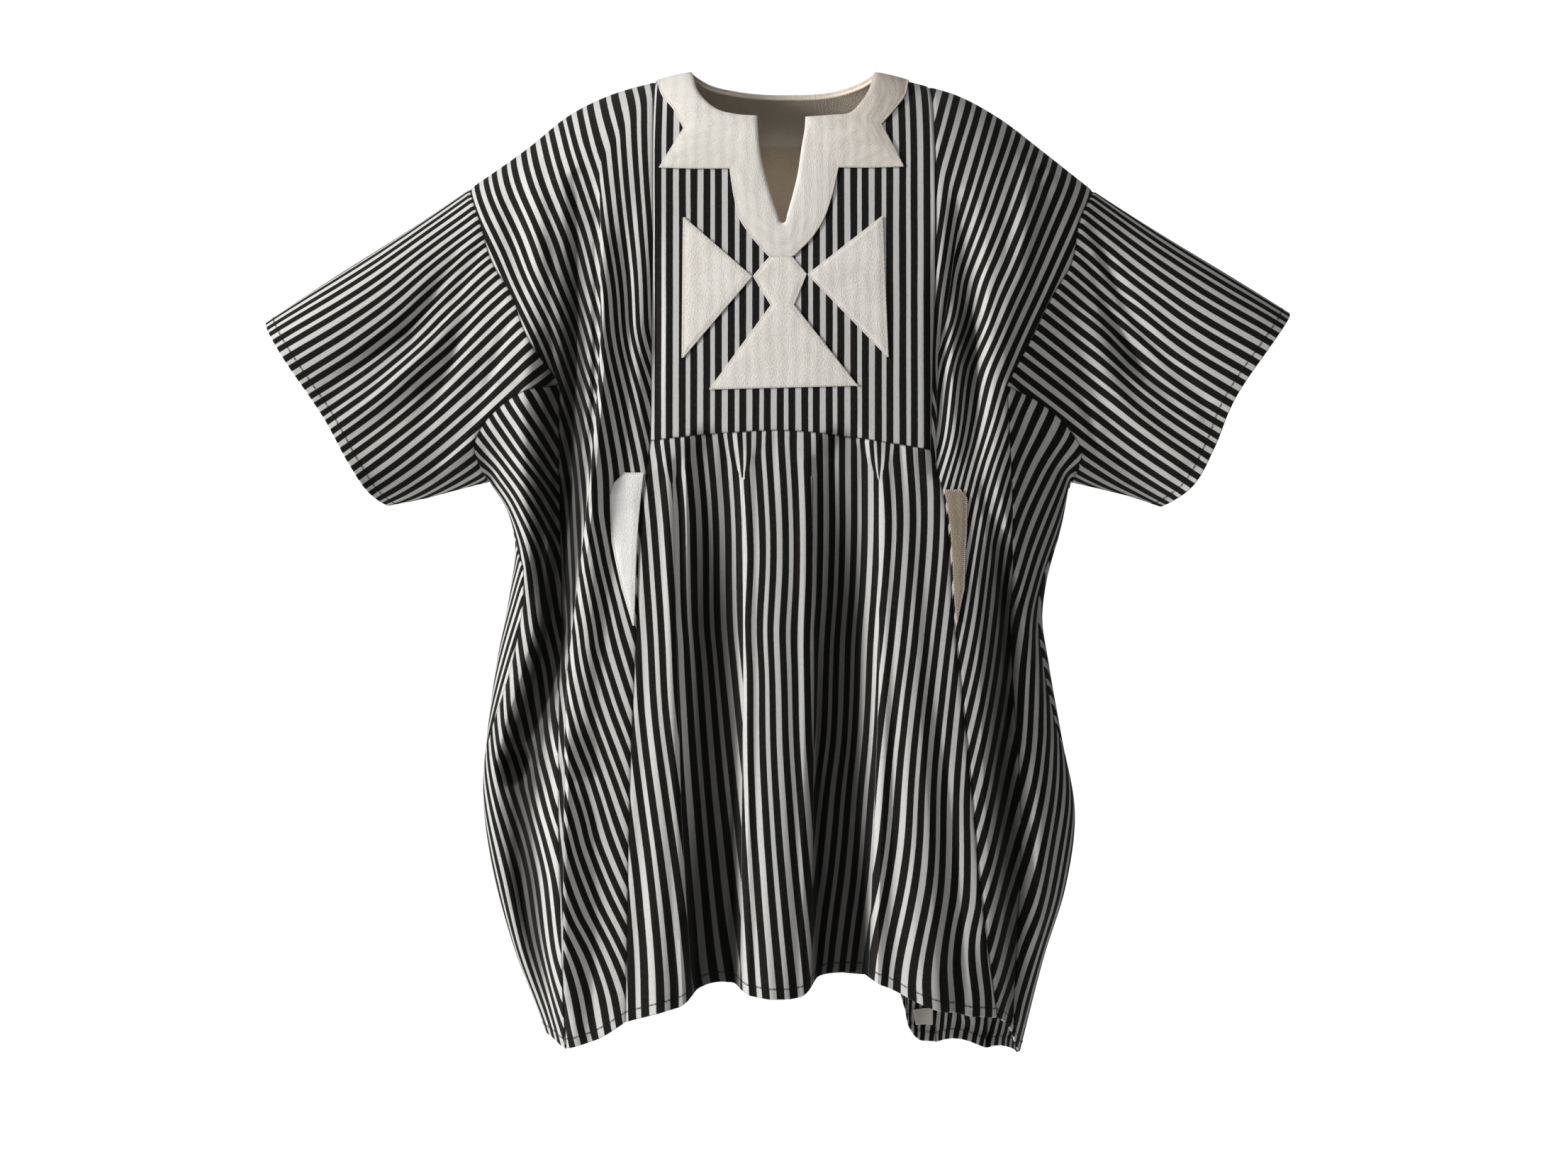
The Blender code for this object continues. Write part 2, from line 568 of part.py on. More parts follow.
class Cloth:
    """A closed wall between an outer and an inner grid of points."""

    def __init__(self, name, outer, inner, finish):
        self.outer = outer
        self.inner = inner
        self.make(name, finish)

    def triangles(self):
        """Each cell of the grid cut along its shorter diagonal, as grid indices."""
        rows, columns = self.outer.shape[:2]
        for i in range(rows - 1):
            for j in range(columns - 1):
                a, b, c, d = (i, j), (i + 1, j), (i + 1, j + 1), (i, j + 1)
                falling = np.linalg.norm(self.outer[a] - self.outer[c])
                rising = np.linalg.norm(self.outer[b] - self.outer[d])
                if falling <= rising:
                    yield from ((a, b, c), (a, c, d))
                else:
                    yield from ((a, b, d), (b, c, d))

    def make(self, name, finish):
        """Builds the closed mesh and its object."""
        rows, columns = self.outer.shape[:2]
        build = bmesh.new()
        outer, inner = ({(i, j): build.verts.new(grid[i, j] * METRES)
                         for i in range(rows) for j in range(columns)}
                        for grid in (self.outer, self.inner))
        for corners in self.triangles():
            build.faces.new([outer[corner] for corner in corners])
            build.faces.new([inner[corner] for corner in reversed(corners)])
        rim = [(i, 0) for i in range(rows)]
        rim += [(rows - 1, j) for j in range(1, columns)]
        rim += [(i, columns - 1) for i in range(rows - 2, -1, -1)]
        rim += [(0, j) for j in range(columns - 2, 0, -1)]
        for near, far in zip(rim, rim[1:] + rim[:1]):
            one = np.linalg.norm(self.outer[far] - self.inner[near])
            other = np.linalg.norm(self.outer[near] - self.inner[far])
            if one <= other:
                build.faces.new([outer[far], outer[near], inner[near]])
                build.faces.new([outer[far], inner[near], inner[far]])
            else:
                build.faces.new([outer[far], outer[near], inner[far]])
                build.faces.new([outer[near], inner[near], inner[far]])
        bmesh.ops.recalc_face_normals(build, faces=build.faces)
        mesh = bpy.data.meshes.new(name)
        build.to_mesh(mesh)
        build.free()
        mesh.materials.append(material_for(name, finish))
        mesh.shade_smooth()
        mesh.set_sharp_from_angle(angle=math.radians(SHARP_ANGLE))
        piece = bpy.data.objects.new(name, mesh)
        bpy.context.scene.collection.objects.link(piece)

    def read(self, spots, grid):
        """Points of this cloth's own facets at spots in x and z, with their directions."""
        corners = np.array([[grid[corner] for corner in cell] for cell in self.triangles()])
        outward = np.array([[(self.outer - self.inner)[corner] for corner in cell]
                            for cell in self.triangles()])
        flat = corners[:, :, (0, 2)]
        base, first, second = flat[:, 0], flat[:, 1] - flat[:, 0], flat[:, 2] - flat[:, 0]
        area = first[:, 0] * second[:, 1] - first[:, 1] * second[:, 0]
        area = np.where(np.abs(area) < 1e-9, 1e-9, area)
        points = []
        normals = []
        for spot in spots.reshape(-1, 2):
            step = spot - base
            v = (step[:, 0] * second[:, 1] - step[:, 1] * second[:, 0]) / area
            w = (first[:, 0] * step[:, 1] - first[:, 1] * step[:, 0]) / area
            weights = np.stack([1 - v - w, v, w], axis=1)
            best = weights.min(axis=1).argmax()
            points.append(weights[best] @ corners[best])
            normals.append(weights[best] @ outward[best])
        points = np.array(points).reshape(*spots.shape[:2], 3)
        normals = np.array(normals).reshape(*spots.shape[:2], 3)
        return points, normals / np.linalg.norm(normals, axis=2)[:, :, None]


def sew(name, spots, faces, on_fold, finish=STRIPED_CLOTH):
    """Gives a grid of spots its depth on the front or back face, and its wall."""
    shape = spots.shape[:2]
    faces = np.broadcast_to(faces, shape)
    outer = np.empty((*shape, 3))
    inner = np.empty((*shape, 3))
    for face in (FRONT, BACK):
        chosen = faces == face
        if chosen.any():
            points, normals = SURFACE.read(spots[chosen], face, on_fold[chosen])
            outer[chosen] = points
            inner[chosen] = points - normals * WALL
    return Cloth(name, outer, inner, finish)


def lay_on(name, cloth, spots, gap=APPLIED_GAP):
    """A thin cream piece of its own outline, laid on the outside of another from its facets."""
    points, normals = cloth.read(spots, cloth.outer)
    return Cloth(name, points + normals * (gap + APPLIED_WALL), points + normals * gap,
                 CREAM_CLOTH)


def lay_cells(name, cloth, rows, columns, finish, inside=False, drop=0.0):
    """A thin piece that covers whole cells of another cloth, from that cloth's own points.

    Drop moves its first row down the cloth, to part it from the piece above.
    """
    outer = cloth.outer[rows, columns]
    inner = cloth.inner[rows, columns]
    outward = outer - inner
    outward = outward / np.linalg.norm(outward, axis=2)[:, :, None]
    if inside:
        near = inner - outward * APPLIED_GAP
        far = near - outward * APPLIED_WALL
    else:
        far = outer + outward * APPLIED_GAP
        near = far + outward * APPLIED_WALL
    if drop:
        for layer in (near, far):
            fall = layer[1] - layer[0]
            layer[0] += fall / np.linalg.norm(fall, axis=1)[:, None] * drop
    return Cloth(name, near, far, finish)


SURFACE = Surface()
UPPER = shares_from_fold(ROWS_UPPER, UPPER_REACH, UPPER_TURN)
LOWER = even(ROWS_LOWER)


def make_yoke():
    """The chest piece with its neck and slit, and the cream band laid round them."""
    rows = STATIONS_LEFT + STATIONS_MIDDLE + STATIONS_RIGHT
    neck = np.array([(row.neck_x, row.neck_z) for row in rows], dtype=float)
    band = np.array([(row.band_x, row.band_z) for row in rows], dtype=float)
    seam = np.concatenate([
        Path(YOKE_SIDE_LEFT).at([row.seam_share for row in STATIONS_LEFT]),
        Path(YOKE_BOTTOM).at([row.seam_share for row in STATIONS_MIDDLE]),
        Path(YOKE_SIDE_RIGHT).at([row.seam_share for row in STATIONS_RIGHT])])
    spots = np.concatenate([across(neck, band, BAND_COLUMNS),
                            across(band, seam, YOKE_COLUMNS)[:, 1:]], axis=1)
    on_fold = fold_mask(spots, rows=(0, -1))
    yoke = sew("yoke_front", inset(spots, ("right",)), FRONT, on_fold)
    lay_cells("neck_band", yoke, slice(None), slice(0, BAND_COLUMNS + 1), CREAM_CLOTH)
    return yoke


def make_motifs(yoke):
    """The triangles and the piece between them, cut from cream cloth."""
    for motif in MOTIFS:
        left = straight_runs(motif.left, motif.rows)
        right = straight_runs(motif.right, motif.rows)
        lay_on(motif.name, yoke, across(left, right, motif.columns))


def make_skirt():
    """The gathered centre skirt below the yoke."""
    spots = coons(Path(YOKE_BOTTOM).at(even(SKIRT_COLUMNS)),
                  Path(HEM_SKIRT).at(even(SKIRT_COLUMNS)),
                  Path(SKIRT_SIDE_LEFT).at(LOWER), Path(SKIRT_SIDE_RIGHT).at(LOWER))
    sew("skirt_front", inset(spots, ("top", "left", "right")), FRONT, fold_mask(spots))


def make_side(name, face, shoulder, hem, outer_seams, inner_seams, inner_shares):
    """A side piece from the shoulder fold to the hem, between its outer and inner seams."""
    start = np.interp(abs(inner_seams[0][0][0]), [abs(x) for x, z in shoulder],
                      lengthwise(np.array(shoulder, dtype=float)))
    top = Path(shoulder).at(1 - (1 - start) * even(SIDE_COLUMNS))
    outer = join(Path(outer_seams[0]).at(UPPER), Path(outer_seams[1]).at(LOWER))
    inner = join(Path(inner_seams[0]).at(inner_shares), Path(inner_seams[1]).at(LOWER))
    spots = coons(top, Path(hem).at(even(SIDE_COLUMNS)), outer, inner)
    return sew(name, inset(spots, ("left", "right")), face, fold_mask(spots, rows=(0,)))


def side_seam_reach(heights, side):
    """How far in front of the fold line the side seam lies at some heights."""
    rows = SIDE_SEAMS[::-1]
    return np.interp(heights, [row.z for row in rows], [getattr(row, side) for row in rows])


def gore_rows(fold, inner, top):
    """A function that reads spots by row and by walk in from the fold line.

    Rows leave the fold line level and rise to the inner seam. The first row is the gore's
    top seam, and its bow fades from row to row.
    """
    top = Path(top[::-1])

    def plain(row, shares):
        run = inner[row] - fold[row]
        return fold[row] + run * np.stack([shares, shares**GORE_RISE], axis=1)

    def read(row, arcs):
        shares = from_arc(np.abs(arcs), GORE_TURN) / np.linalg.norm(inner[row] - fold[row])
        bow = top.at(shares) - plain(0, shares)
        return plain(row, shares) + bow * (1 - row / ROWS_LOWER) ** GORE_BOW_FADE

    return read


def make_gores(side, outline, foot, tops, seams):
    """The front and back gores of one side, which meet at the side seam.

    Where the side seam lies in front of the fold line, the back gore wraps round to it.
    """
    line = Path(outline).at(even(SIDE_STEPS))
    folds = {}
    for face in ("front", "back"):
        heights = line[0, 1] + (foot["front"] - line[0, 1]) * LOWER
        heights[-1] = foot[face]
        folds[face] = np.stack([np.interp(-heights, -line[:, 1], line[:, 0]), heights], axis=1)
    inner = {face: Path(seams[face]).at(LOWER) for face in folds}
    walk = {face: to_arc(np.linalg.norm(inner[face] - folds[face], axis=1), GORE_TURN)
            for face in folds}
    read = {face: gore_rows(folds[face], inner[face], tops[face]) for face in folds}
    seam = to_arc(side_seam_reach(folds["front"][:, 1], side), GORE_TURN)
    half = SEAM_GAP / 2
    shape = (ROWS_LOWER + 1, GORE_COLUMNS + 1)
    front = np.empty((*shape, 2))
    back = np.empty((*shape, 2))
    back_faces = np.full(shape, BACK)
    for row in range(shape[0]):
        arcs = seam[row] + half + (walk["front"][row] - seam[row] - half) * even(GORE_COLUMNS)
        front[row] = read["front"](row, arcs)
        arcs = -walk["back"][row] + (walk["back"][row] + seam[row] - half) * even(GORE_COLUMNS)
        ahead = arcs > 0
        back[row] = np.where(ahead[:, None], read["front"](row, arcs), read["back"](row, arcs))
        back_faces[row][ahead] = FRONT
    on_fold = np.zeros(shape, dtype=bool)
    on_fold[:, 0] = seam < 1
    sew(f"gore_front_{side}", inset(front, ("top", "right")), FRONT, on_fold)
    sew(f"gore_back_{side}", inset(back, ("top", "left")), back_faces, on_fold[:, ::-1])


def row_bow(spots):
    """Bows a sleeve's rows up from the corner where armhole and gore meet, to open the corner."""
    rows, columns = spots.shape[:2]
    away = np.abs(np.arange(rows) - ROWS_UPPER) / CORNER_REACH
    rise = CORNER_BOW * (1 - smooth_step(away))[:, None] * np.sin(math.pi * even(columns - 1))
    return np.stack([np.zeros_like(rise), rise], axis=2)


def make_sleeve(side, sleeve_top, sleeve_bottom, armhole, gore_tops, cuff):
    """A wide sleeve, one piece from its underarm seam round to the underarm seam."""
    top = Path(sleeve_top).at(even(SLEEVE_COLUMNS))
    bottom = Path(sleeve_bottom).at(even(SLEEVE_COLUMNS))
    cuff = Path(cuff)
    steps = join(even(ROWS_UPPER) * CUFF_SPLIT, 1 - (1 - CUFF_SPLIT) * even(GORE_COLUMNS)[::-1])
    ring = cuff.at(shares_between_folds(steps, cuff.length, SLEEVE_TURN))
    halves = []
    for gore_top in gore_tops:
        reach = np.linalg.norm(np.subtract(gore_top[-1], gore_top[0]))
        shares = 1 - shares_from_fold(GORE_COLUMNS, reach, GORE_TURN)[::-1]
        body = join(Path(armhole).at(UPPER), Path(gore_top).at(shares))
        spots = coons(top, bottom, body, ring)
        halves.append(inset(spots + row_bow(spots), ("left",)))
    spots = np.concatenate([halves[0][::-1], halves[1][1:]])
    faces = np.full(spots.shape[:2], FRONT)
    faces[len(halves[0]):] = BACK
    middle = len(halves[0]) - 1
    sew(f"sleeve_{side}", spots, faces, fold_mask(spots, rows=(0, middle, -1)))


def make_back():
    """The centre back, from the neck to the hem."""
    shoulder = even(BACK_SHOULDER_COLUMNS)
    top = join(Path((BACK_UPPER_LEFT[0], NECK_BACK[0])).at(shoulder),
               Path(NECK_BACK).at(even(BACK_NECK_COLUMNS)),
               Path((NECK_BACK[-1], BACK_UPPER_RIGHT[0])).at(shoulder))
    columns = 2 * BACK_SHOULDER_COLUMNS + BACK_NECK_COLUMNS
    left = join(Path(BACK_UPPER_LEFT).at(BACK_SHARES), Path(BACK_LOWER_LEFT).at(LOWER))
    right = join(Path(BACK_UPPER_RIGHT).at(BACK_SHARES), Path(BACK_LOWER_RIGHT).at(LOWER))
    spots = coons(top, Path(HEM_BACK).at(even(columns)), left, right)
    on_fold = fold_mask(spots)
    on_fold[0, :BACK_SHOULDER_COLUMNS + 1] = True
    on_fold[0, -BACK_SHOULDER_COLUMNS - 1:] = True
    return sew("back_centre", inset(spots, ("left", "right")), BACK, on_fold)


def make_back_trim(back):
    """The back neck band outside, and what shows inside: facing, lining and hem patch."""
    lay_cells("neck_band_back", back, slice(0, BACK_BAND_ROW + 1), slice(None), CREAM_CLOTH)
    lay_cells("neck_facing_back", back, slice(0, FACING_ROW + 1), slice(1, -1), LINING_CLOTH,
              inside=True)
    lay_cells("yoke_lining_back", back, slice(FACING_ROW, LINING_ROW + 1), slice(2, -2),
              LINING_CLOTH, inside=True, drop=SEAM_GAP)
    spots = across(Path(PATCH_TOP).at(even(PATCH_COLUMNS)),
                   Path(PATCH_FOOT).at(even(PATCH_COLUMNS)), PATCH_ROWS)
    points, normals = back.read(spots, back.inner)
    Cloth("hem_patch_back", points - normals * APPLIED_GAP,
          points - normals * (APPLIED_GAP + APPLIED_WALL), CREAM_CLOTH)


def make_welt(name, cloth, seam, top, foot, side):
    """A pocket welt, cut from cream cloth and tapered to its foot beside the skirt seam."""
    line = Path(seam).at(even(SEAM_STEPS))
    shares = even(WELT_ROWS)
    heights = top + (foot - top) * shares
    near = np.interp(-heights, -line[:, 1], line[:, 0])
    widths = np.interp(shares, [row.share for row in WELTS],
                       [getattr(row, side) for row in WELTS])
    outward = math.copysign(1.0, seam[0][0])
    near = near + outward * WELT_FROM_SEAM
    far = near + outward * widths
    spots = across(np.stack([near, heights], axis=1), np.stack([far, heights], axis=1),
                   WELT_COLUMNS)
    lay_on(name, cloth, spots, WELT_GAP)


def make_smock():
    """Every piece of the smock."""
    make_motifs(make_yoke())
    make_skirt()
    yoke_left = [row.seam_share for row in STATIONS_LEFT]
    yoke_right = [row.seam_share for row in STATIONS_RIGHT[::-1]]
    side_left = make_side("side_front_left", FRONT, SHOULDER_LEFT, HEM_SIDE_LEFT,
                          (ARMHOLE_LEFT, GORE_SEAM_LEFT), (YOKE_SIDE_LEFT, SKIRT_SIDE_LEFT),
                          yoke_left)
    side_right = make_side("side_front_right", FRONT, SHOULDER_RIGHT, HEM_SIDE_RIGHT,
                           (ARMHOLE_RIGHT, GORE_SEAM_RIGHT),
                           (YOKE_SIDE_RIGHT, SKIRT_SIDE_RIGHT), yoke_right)
    make_welt("pocket_welt_left", side_left, SKIRT_SIDE_LEFT, WELT_TOP_LEFT, WELT_FOOT_LEFT,
              "left")
    make_welt("pocket_welt_right", side_right, SKIRT_SIDE_RIGHT, WELT_TOP_RIGHT,
              WELT_FOOT_RIGHT, "right")
    make_side("side_back_left", BACK, SHOULDER_LEFT, HEM_BACK_SIDE_LEFT,
              (ARMHOLE_LEFT, GORE_SEAM_BACK_LEFT), (BACK_UPPER_LEFT, BACK_LOWER_LEFT),
              BACK_SHARES)
    make_side("side_back_right", BACK, SHOULDER_RIGHT, HEM_BACK_SIDE_RIGHT,
              (ARMHOLE_RIGHT, GORE_SEAM_BACK_RIGHT), (BACK_UPPER_RIGHT, BACK_LOWER_RIGHT),
              BACK_SHARES)
    make_back_trim(make_back())
    make_gores("left", SIDE_LEFT, FOOT_LEFT,
               {"front": GORE_TOP_LEFT, "back": GORE_TOP_BACK_LEFT},
               {"front": GORE_SEAM_LEFT, "back": GORE_SEAM_BACK_LEFT})
    make_gores("right", SIDE_RIGHT, FOOT_RIGHT,
               {"front": GORE_TOP_RIGHT, "back": GORE_TOP_BACK_RIGHT},
               {"front": GORE_SEAM_RIGHT, "back": GORE_SEAM_BACK_RIGHT})
    make_sleeve("left", SLEEVE_TOP_LEFT, SLEEVE_BOTTOM_LEFT, ARMHOLE_LEFT,
                (GORE_TOP_LEFT, GORE_TOP_BACK_LEFT), CUFF_LEFT)
    make_sleeve("right", SLEEVE_TOP_RIGHT, SLEEVE_BOTTOM_RIGHT, ARMHOLE_RIGHT,
                (GORE_TOP_RIGHT, GORE_TOP_BACK_RIGHT), CUFF_RIGHT)


for old in list(bpy.data.objects):
    bpy.data.objects.remove(old, do_unlink=True)
make_smock()
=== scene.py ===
"""A fugu smock: strip-woven cloth, cream cut-work and its sewing, worn with no wearer.

Lengths in the tables are millimetres; meshes are made in metres. X runs to the viewer's
right, Y to the back and Z up, from the middle of the neck between the shoulder points.
"""

import logging
import math
from dataclasses import dataclass
from enum import Enum
from typing import Any, Callable, Sequence

import bpy
import numpy as np
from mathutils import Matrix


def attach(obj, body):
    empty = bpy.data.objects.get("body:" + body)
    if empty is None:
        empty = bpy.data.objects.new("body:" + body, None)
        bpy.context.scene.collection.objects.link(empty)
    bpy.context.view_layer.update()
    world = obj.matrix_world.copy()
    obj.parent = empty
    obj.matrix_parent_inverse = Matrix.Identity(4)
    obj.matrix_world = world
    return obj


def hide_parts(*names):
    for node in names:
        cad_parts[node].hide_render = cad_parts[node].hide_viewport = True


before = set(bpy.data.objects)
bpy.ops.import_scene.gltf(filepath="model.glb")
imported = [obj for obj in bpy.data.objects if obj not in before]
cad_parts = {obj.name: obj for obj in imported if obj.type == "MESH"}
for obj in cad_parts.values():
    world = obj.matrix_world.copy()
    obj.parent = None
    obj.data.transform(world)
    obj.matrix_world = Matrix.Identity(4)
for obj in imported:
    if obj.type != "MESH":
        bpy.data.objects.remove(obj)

log = logging.getLogger("smock")

METRES = 0.001
REPEAT = 23.2
STRIPE = REPEAT / 2
ROWS = 160

# The gap left at a seam, and where the extra row beside it lies, as a share of the first step
SEAM_GAP = 0.1
SEAM_ROW = 0.4

# How wide a roll line's break is at its top, and how it fades above
ROLL_WIDTH = 0.15
ROLL_FADE = 0.8

# How much of a turned edge's extra cloth shows in its stripes
TURNED = 0.6

# Stripe slants are summed over this length, in this many steps
LONGEST = 1000
SLANT_STEPS = 500

# Keeps divisions and logarithms clear of zero
TINY = 1e-9

# Dull cotton's soft shine
SHEEN_ROUGHNESS = 0.5
SPECULAR = 0.1

# Round edges at the shoulders and sides, and how far the upper seams reach
SHOULDER_TURN = 96.0
SIDE_TURN = 70.0
ARMHOLE_REACH = 300.0
YOKE_REACH = 358.0

Grid = np.ndarray
Line = tuple[tuple[float, float], ...]
Runs = tuple[tuple[float, ...], ...]
Colour = tuple[float, float, float, float]
Edges = dict[str, "Edge"]

WHITE: Colour = (1.0, 1.0, 1.0, 1.0)


class Face(Enum):
    """Which face of the smock a piece lies on."""

    FRONT = -1.0
    BACK = 1.0

    @property
    def word(self) -> str:
        """The face's name, as nodes and sections have it."""
        return self.name.lower()


class Edge(Enum):
    """How an edge of a cut piece is finished."""

    SEAM = "seam"
    HEM = "hem"
    FOLD = "fold"


SEWN: Edges = {edge: Edge.SEAM for edge in ("top", "bottom", "left", "right")}
HEMMED: Edges = {**SEWN, "bottom": Edge.HEM}


@dataclass(frozen=True)
class Section:
    """The hollow form at one height: depths, radius of its side turn and crown."""

    z: float
    front: float
    back: float
    turn: float
    crown: float


@dataclass(frozen=True)
class Cut:
    """What a piece was cut as, before it was sewn and worn, in metres."""

    width: float
    length: float
    area: float
    held: str = "draped"


@dataclass(frozen=True)
class Half:
    """The lines of one half of the smock, from the top down or from the middle out."""

    name: str
    shoulder: Line
    sleeve_top: Line
    sleeve_bottom: Line
    side: Line
    cuff: Line
    armhole: Line
    gore_top: dict[Face, Line]
    gore_seam: dict[Face, Line]
    hem: dict[Face, Line]
    inner: dict[Face, tuple[Line, Line]]
    foot: dict[Face, float]
    side_seam: Line
    stations: tuple[tuple[float, ...], ...]
    welt_ends: tuple[float, float]
    welt: Line


SECTIONS = (
    Section(0, 92, 84, 100, 0.05),
    Section(-200, 98, 92, 95, 0.10),
    Section(-400, 104, 98, 85, 0.12),
    Section(-680, 112, 106, 85, 0.14),
    Section(-960, 120, 114, 90, 0.16),
)

CUTS = {
    "yoke_front": Cut(0.27, 0.37, 0.091),
    "neck_band": Cut(0.25, 0.19, 0.026),
    "applique_left": Cut(0.067, 0.134, 0.0046),
    "applique_right": Cut(0.076, 0.134, 0.0051),
    "applique_centre": Cut(0.051, 0.048, 0.0018),
    "applique_base": Cut(0.14, 0.081, 0.0066),
    "skirt_front": Cut(0.452, 0.555, 0.25, "gathered"),
    "side_front_left": Cut(0.2, 0.98, 0.12),
    "side_front_right": Cut(0.18, 0.98, 0.086),
    "side_back_left": Cut(0.2, 0.98, 0.104),
    "side_back_right": Cut(0.2, 0.98, 0.104),
    "back_centre": Cut(0.31, 0.975, 0.262),
    "neck_band_back": Cut(0.25, 0.062, 0.0134),
    "neck_facing_back": Cut(0.23, 0.075, 0.0140),
    "yoke_lining_back": Cut(0.18, 0.33, 0.0565),
    "hem_patch_back": Cut(0.024, 0.017, 0.00039),
    "gore_front_left": Cut(0.14, 0.64, 0.071),
    "gore_back_left": Cut(0.16, 0.64, 0.078),
    "gore_front_right": Cut(0.12, 0.64, 0.0525),
    "gore_back_right": Cut(0.15, 0.64, 0.072),
    "sleeve_left": Cut(0.24, 0.72, 0.122),
    "sleeve_right": Cut(0.23, 0.72, 0.119),
    "pocket_welt_left": Cut(0.031, 0.144, 0.0030),
    "pocket_welt_right": Cut(0.022, 0.124, 0.0017),
}

# Every other piece is named after its node, with _cloth behind it
PIECE_NAMES = {"yoke_front": "chest_piece", "skirt_front": "skirt_cloth",
               "back_centre": "back_cloth", "hem_patch_back": "hem_patch_cloth"}


# Shoulder, sleeve and side are the outline's fold lines, where front and back meet. The side
# seam has heights and how far in front of the fold line it lies. A station has x and z on the
# neck line and on the band's outer line, and a share of the seam opposite. The welt has
# shares of its length and its width there
LEFT = Half(
    "left",
    shoulder=((-91, 0), (-124, -8), (-172, -22), (-210, -41), (-248, -71), (-307, -113)),
    sleeve_top=((-307, -113), (-370, -157), (-440, -203), (-504, -246)),
    sleeve_bottom=((-289, -401), (-320, -409), (-353, -418), (-388, -425)),
    side=((-289, -401), (-272, -428), (-264, -458), (-269, -512), (-280, -570), (-290, -641),
          (-295, -699), (-288, -771), (-266, -855), (-234, -940), (-224, -975)),
    cuff=((-504, -246), (-471, -295), (-438, -344), (-415, -387), (-398, -415), (-388, -425)),
    armhole=((-307, -113), (-293, -150), (-278, -195), (-260, -225), (-247, -260), (-214, -310)),
    gore_top={
        Face.FRONT: ((-214, -310), (-251, -319), (-271, -332), (-290, -352), (-297, -370),
                     (-289, -401)),
        Face.BACK: ((-214, -310), (-240, -336), (-266, -366), (-289, -401))},
    gore_seam={
        Face.FRONT: ((-214, -310), (-217, -417), (-215, -554), (-211, -750), (-206, -942)),
        Face.BACK: ((-214, -310), (-212, -420), (-214, -600), (-212, -790), (-204, -938))},
    hem={
        Face.FRONT: ((-206, -942), (-180, -934), (-148, -914)),
        Face.BACK: ((-204, -938), (-180, -933), (-152, -931))},
    inner={
        Face.FRONT: (((-124, -8), (-123, -162), (-124, -268), (-125, -366)),
                     ((-125, -366), (-132, -419), (-139, -566), (-143, -660), (-148, -914))),
        Face.BACK: (((-124, -8), (-122, -200), (-126, -366)),
                    ((-126, -366), (-140, -660), (-152, -931)))},
    foot={Face.FRONT: -940, Face.BACK: -940},
    side_seam=((-440, 0), (-470, 14), (-507, 36), (-545, 38), (-590, 28), (-640, 8), (-670, 0)),
    stations=(
        (-91, 0, -122.5, -7.6, 0.0), (-90, -3, -122, -9.5, 0.006), (-88, -10, -121, -14, 0.028),
        (-83, -28, -116, -32, 0.075), (-74, -41, -104, -49, 0.15), (-63, -50, -94, -69, 0.225),
        (-46, -55, -117, -107, 0.3), (-25, -57, -84, -108, 0.42), (-24, -72, -50, -108, 0.58),
        (-22, -92, -46, -134, 0.78), (-16, -120, -39, -159, 1.0)),
    welt_ends=(-397, -541),
    welt=((0, 20), (0.06, 28), (0.15, 31), (0.45, 26), (0.75, 15), (1, 3)),
)

RIGHT = Half(
    "right",
    shoulder=((92, 0), (144, -13), (168, -20), (212, -43), (256, -76), (305, -115)),
    sleeve_top=((305, -115), (370, -158), (435, -199), (495, -237)),
    sleeve_bottom=((283, -401), (312, -408), (343, -416), (372, -426)),
    side=((283, -401), (275, -444), (260, -500), (256, -534), (262, -578), (275, -652), (288, -727),
          (279, -799), (258, -867), (240, -936), (228, -985)),
    cuff=((495, -237), (463, -279), (432, -326), (413, -372), (392, -410), (372, -426)),
    armhole=((305, -115), (287, -150), (277, -195), (257, -229), (240, -264), (213, -314)),
    gore_top={
        Face.FRONT: ((213, -314), (241, -326), (258, -337), (276, -354), (288, -374), (283, -401)),
        Face.BACK: ((213, -314), (236, -338), (262, -368), (283, -401))},
    gore_seam={
        Face.FRONT: ((213, -314), (219, -417), (220, -554), (228, -750), (223, -936)),
        Face.BACK: ((213, -314), (211, -420), (214, -600), (216, -790), (208, -972))},
    hem={
        Face.FRONT: ((223, -936), (215, -922), (205, -914)),
        Face.BACK: ((208, -972), (176, -968), (160, -975))},
    inner={
        Face.FRONT: (((144, -13), (146, -162), (144, -268), (141, -375)),
                     ((141, -375), (151, -412), (162, -533), (173, -639), (192, -830),
                      (205, -914))),
        Face.BACK: (((124, -8), (126, -200), (134, -366)),
                    ((134, -366), (146, -660), (160, -975)))},
    foot={Face.FRONT: -960, Face.BACK: -964},
    side_seam=((-440, 0), (-470, 6), (-507, 20), (-545, 20), (-590, 17), (-640, 9), (-670, 0)),
    stations=(
        (92, 0, 123.5, -7.8, 0.0), (91, -3, 123, -9.8, 0.006), (89, -10, 122, -14, 0.028),
        (84, -28, 118, -32, 0.075), (76, -42, 107, -49, 0.15), (66, -53, 94, -65, 0.225),
        (46, -56, 115, -106, 0.3), (23, -58, 84, -107, 0.42), (22, -70, 53, -107, 0.58),
        (19, -88, 47, -133, 0.78), (14, -120, 38, -158, 1.0)),
    welt_ends=(-413, -537),
    welt=((0, 17), (0.06, 22), (0.15, 20), (0.45, 15), (0.75, 12), (1, 3)),
)
HALVES = (LEFT, RIGHT)

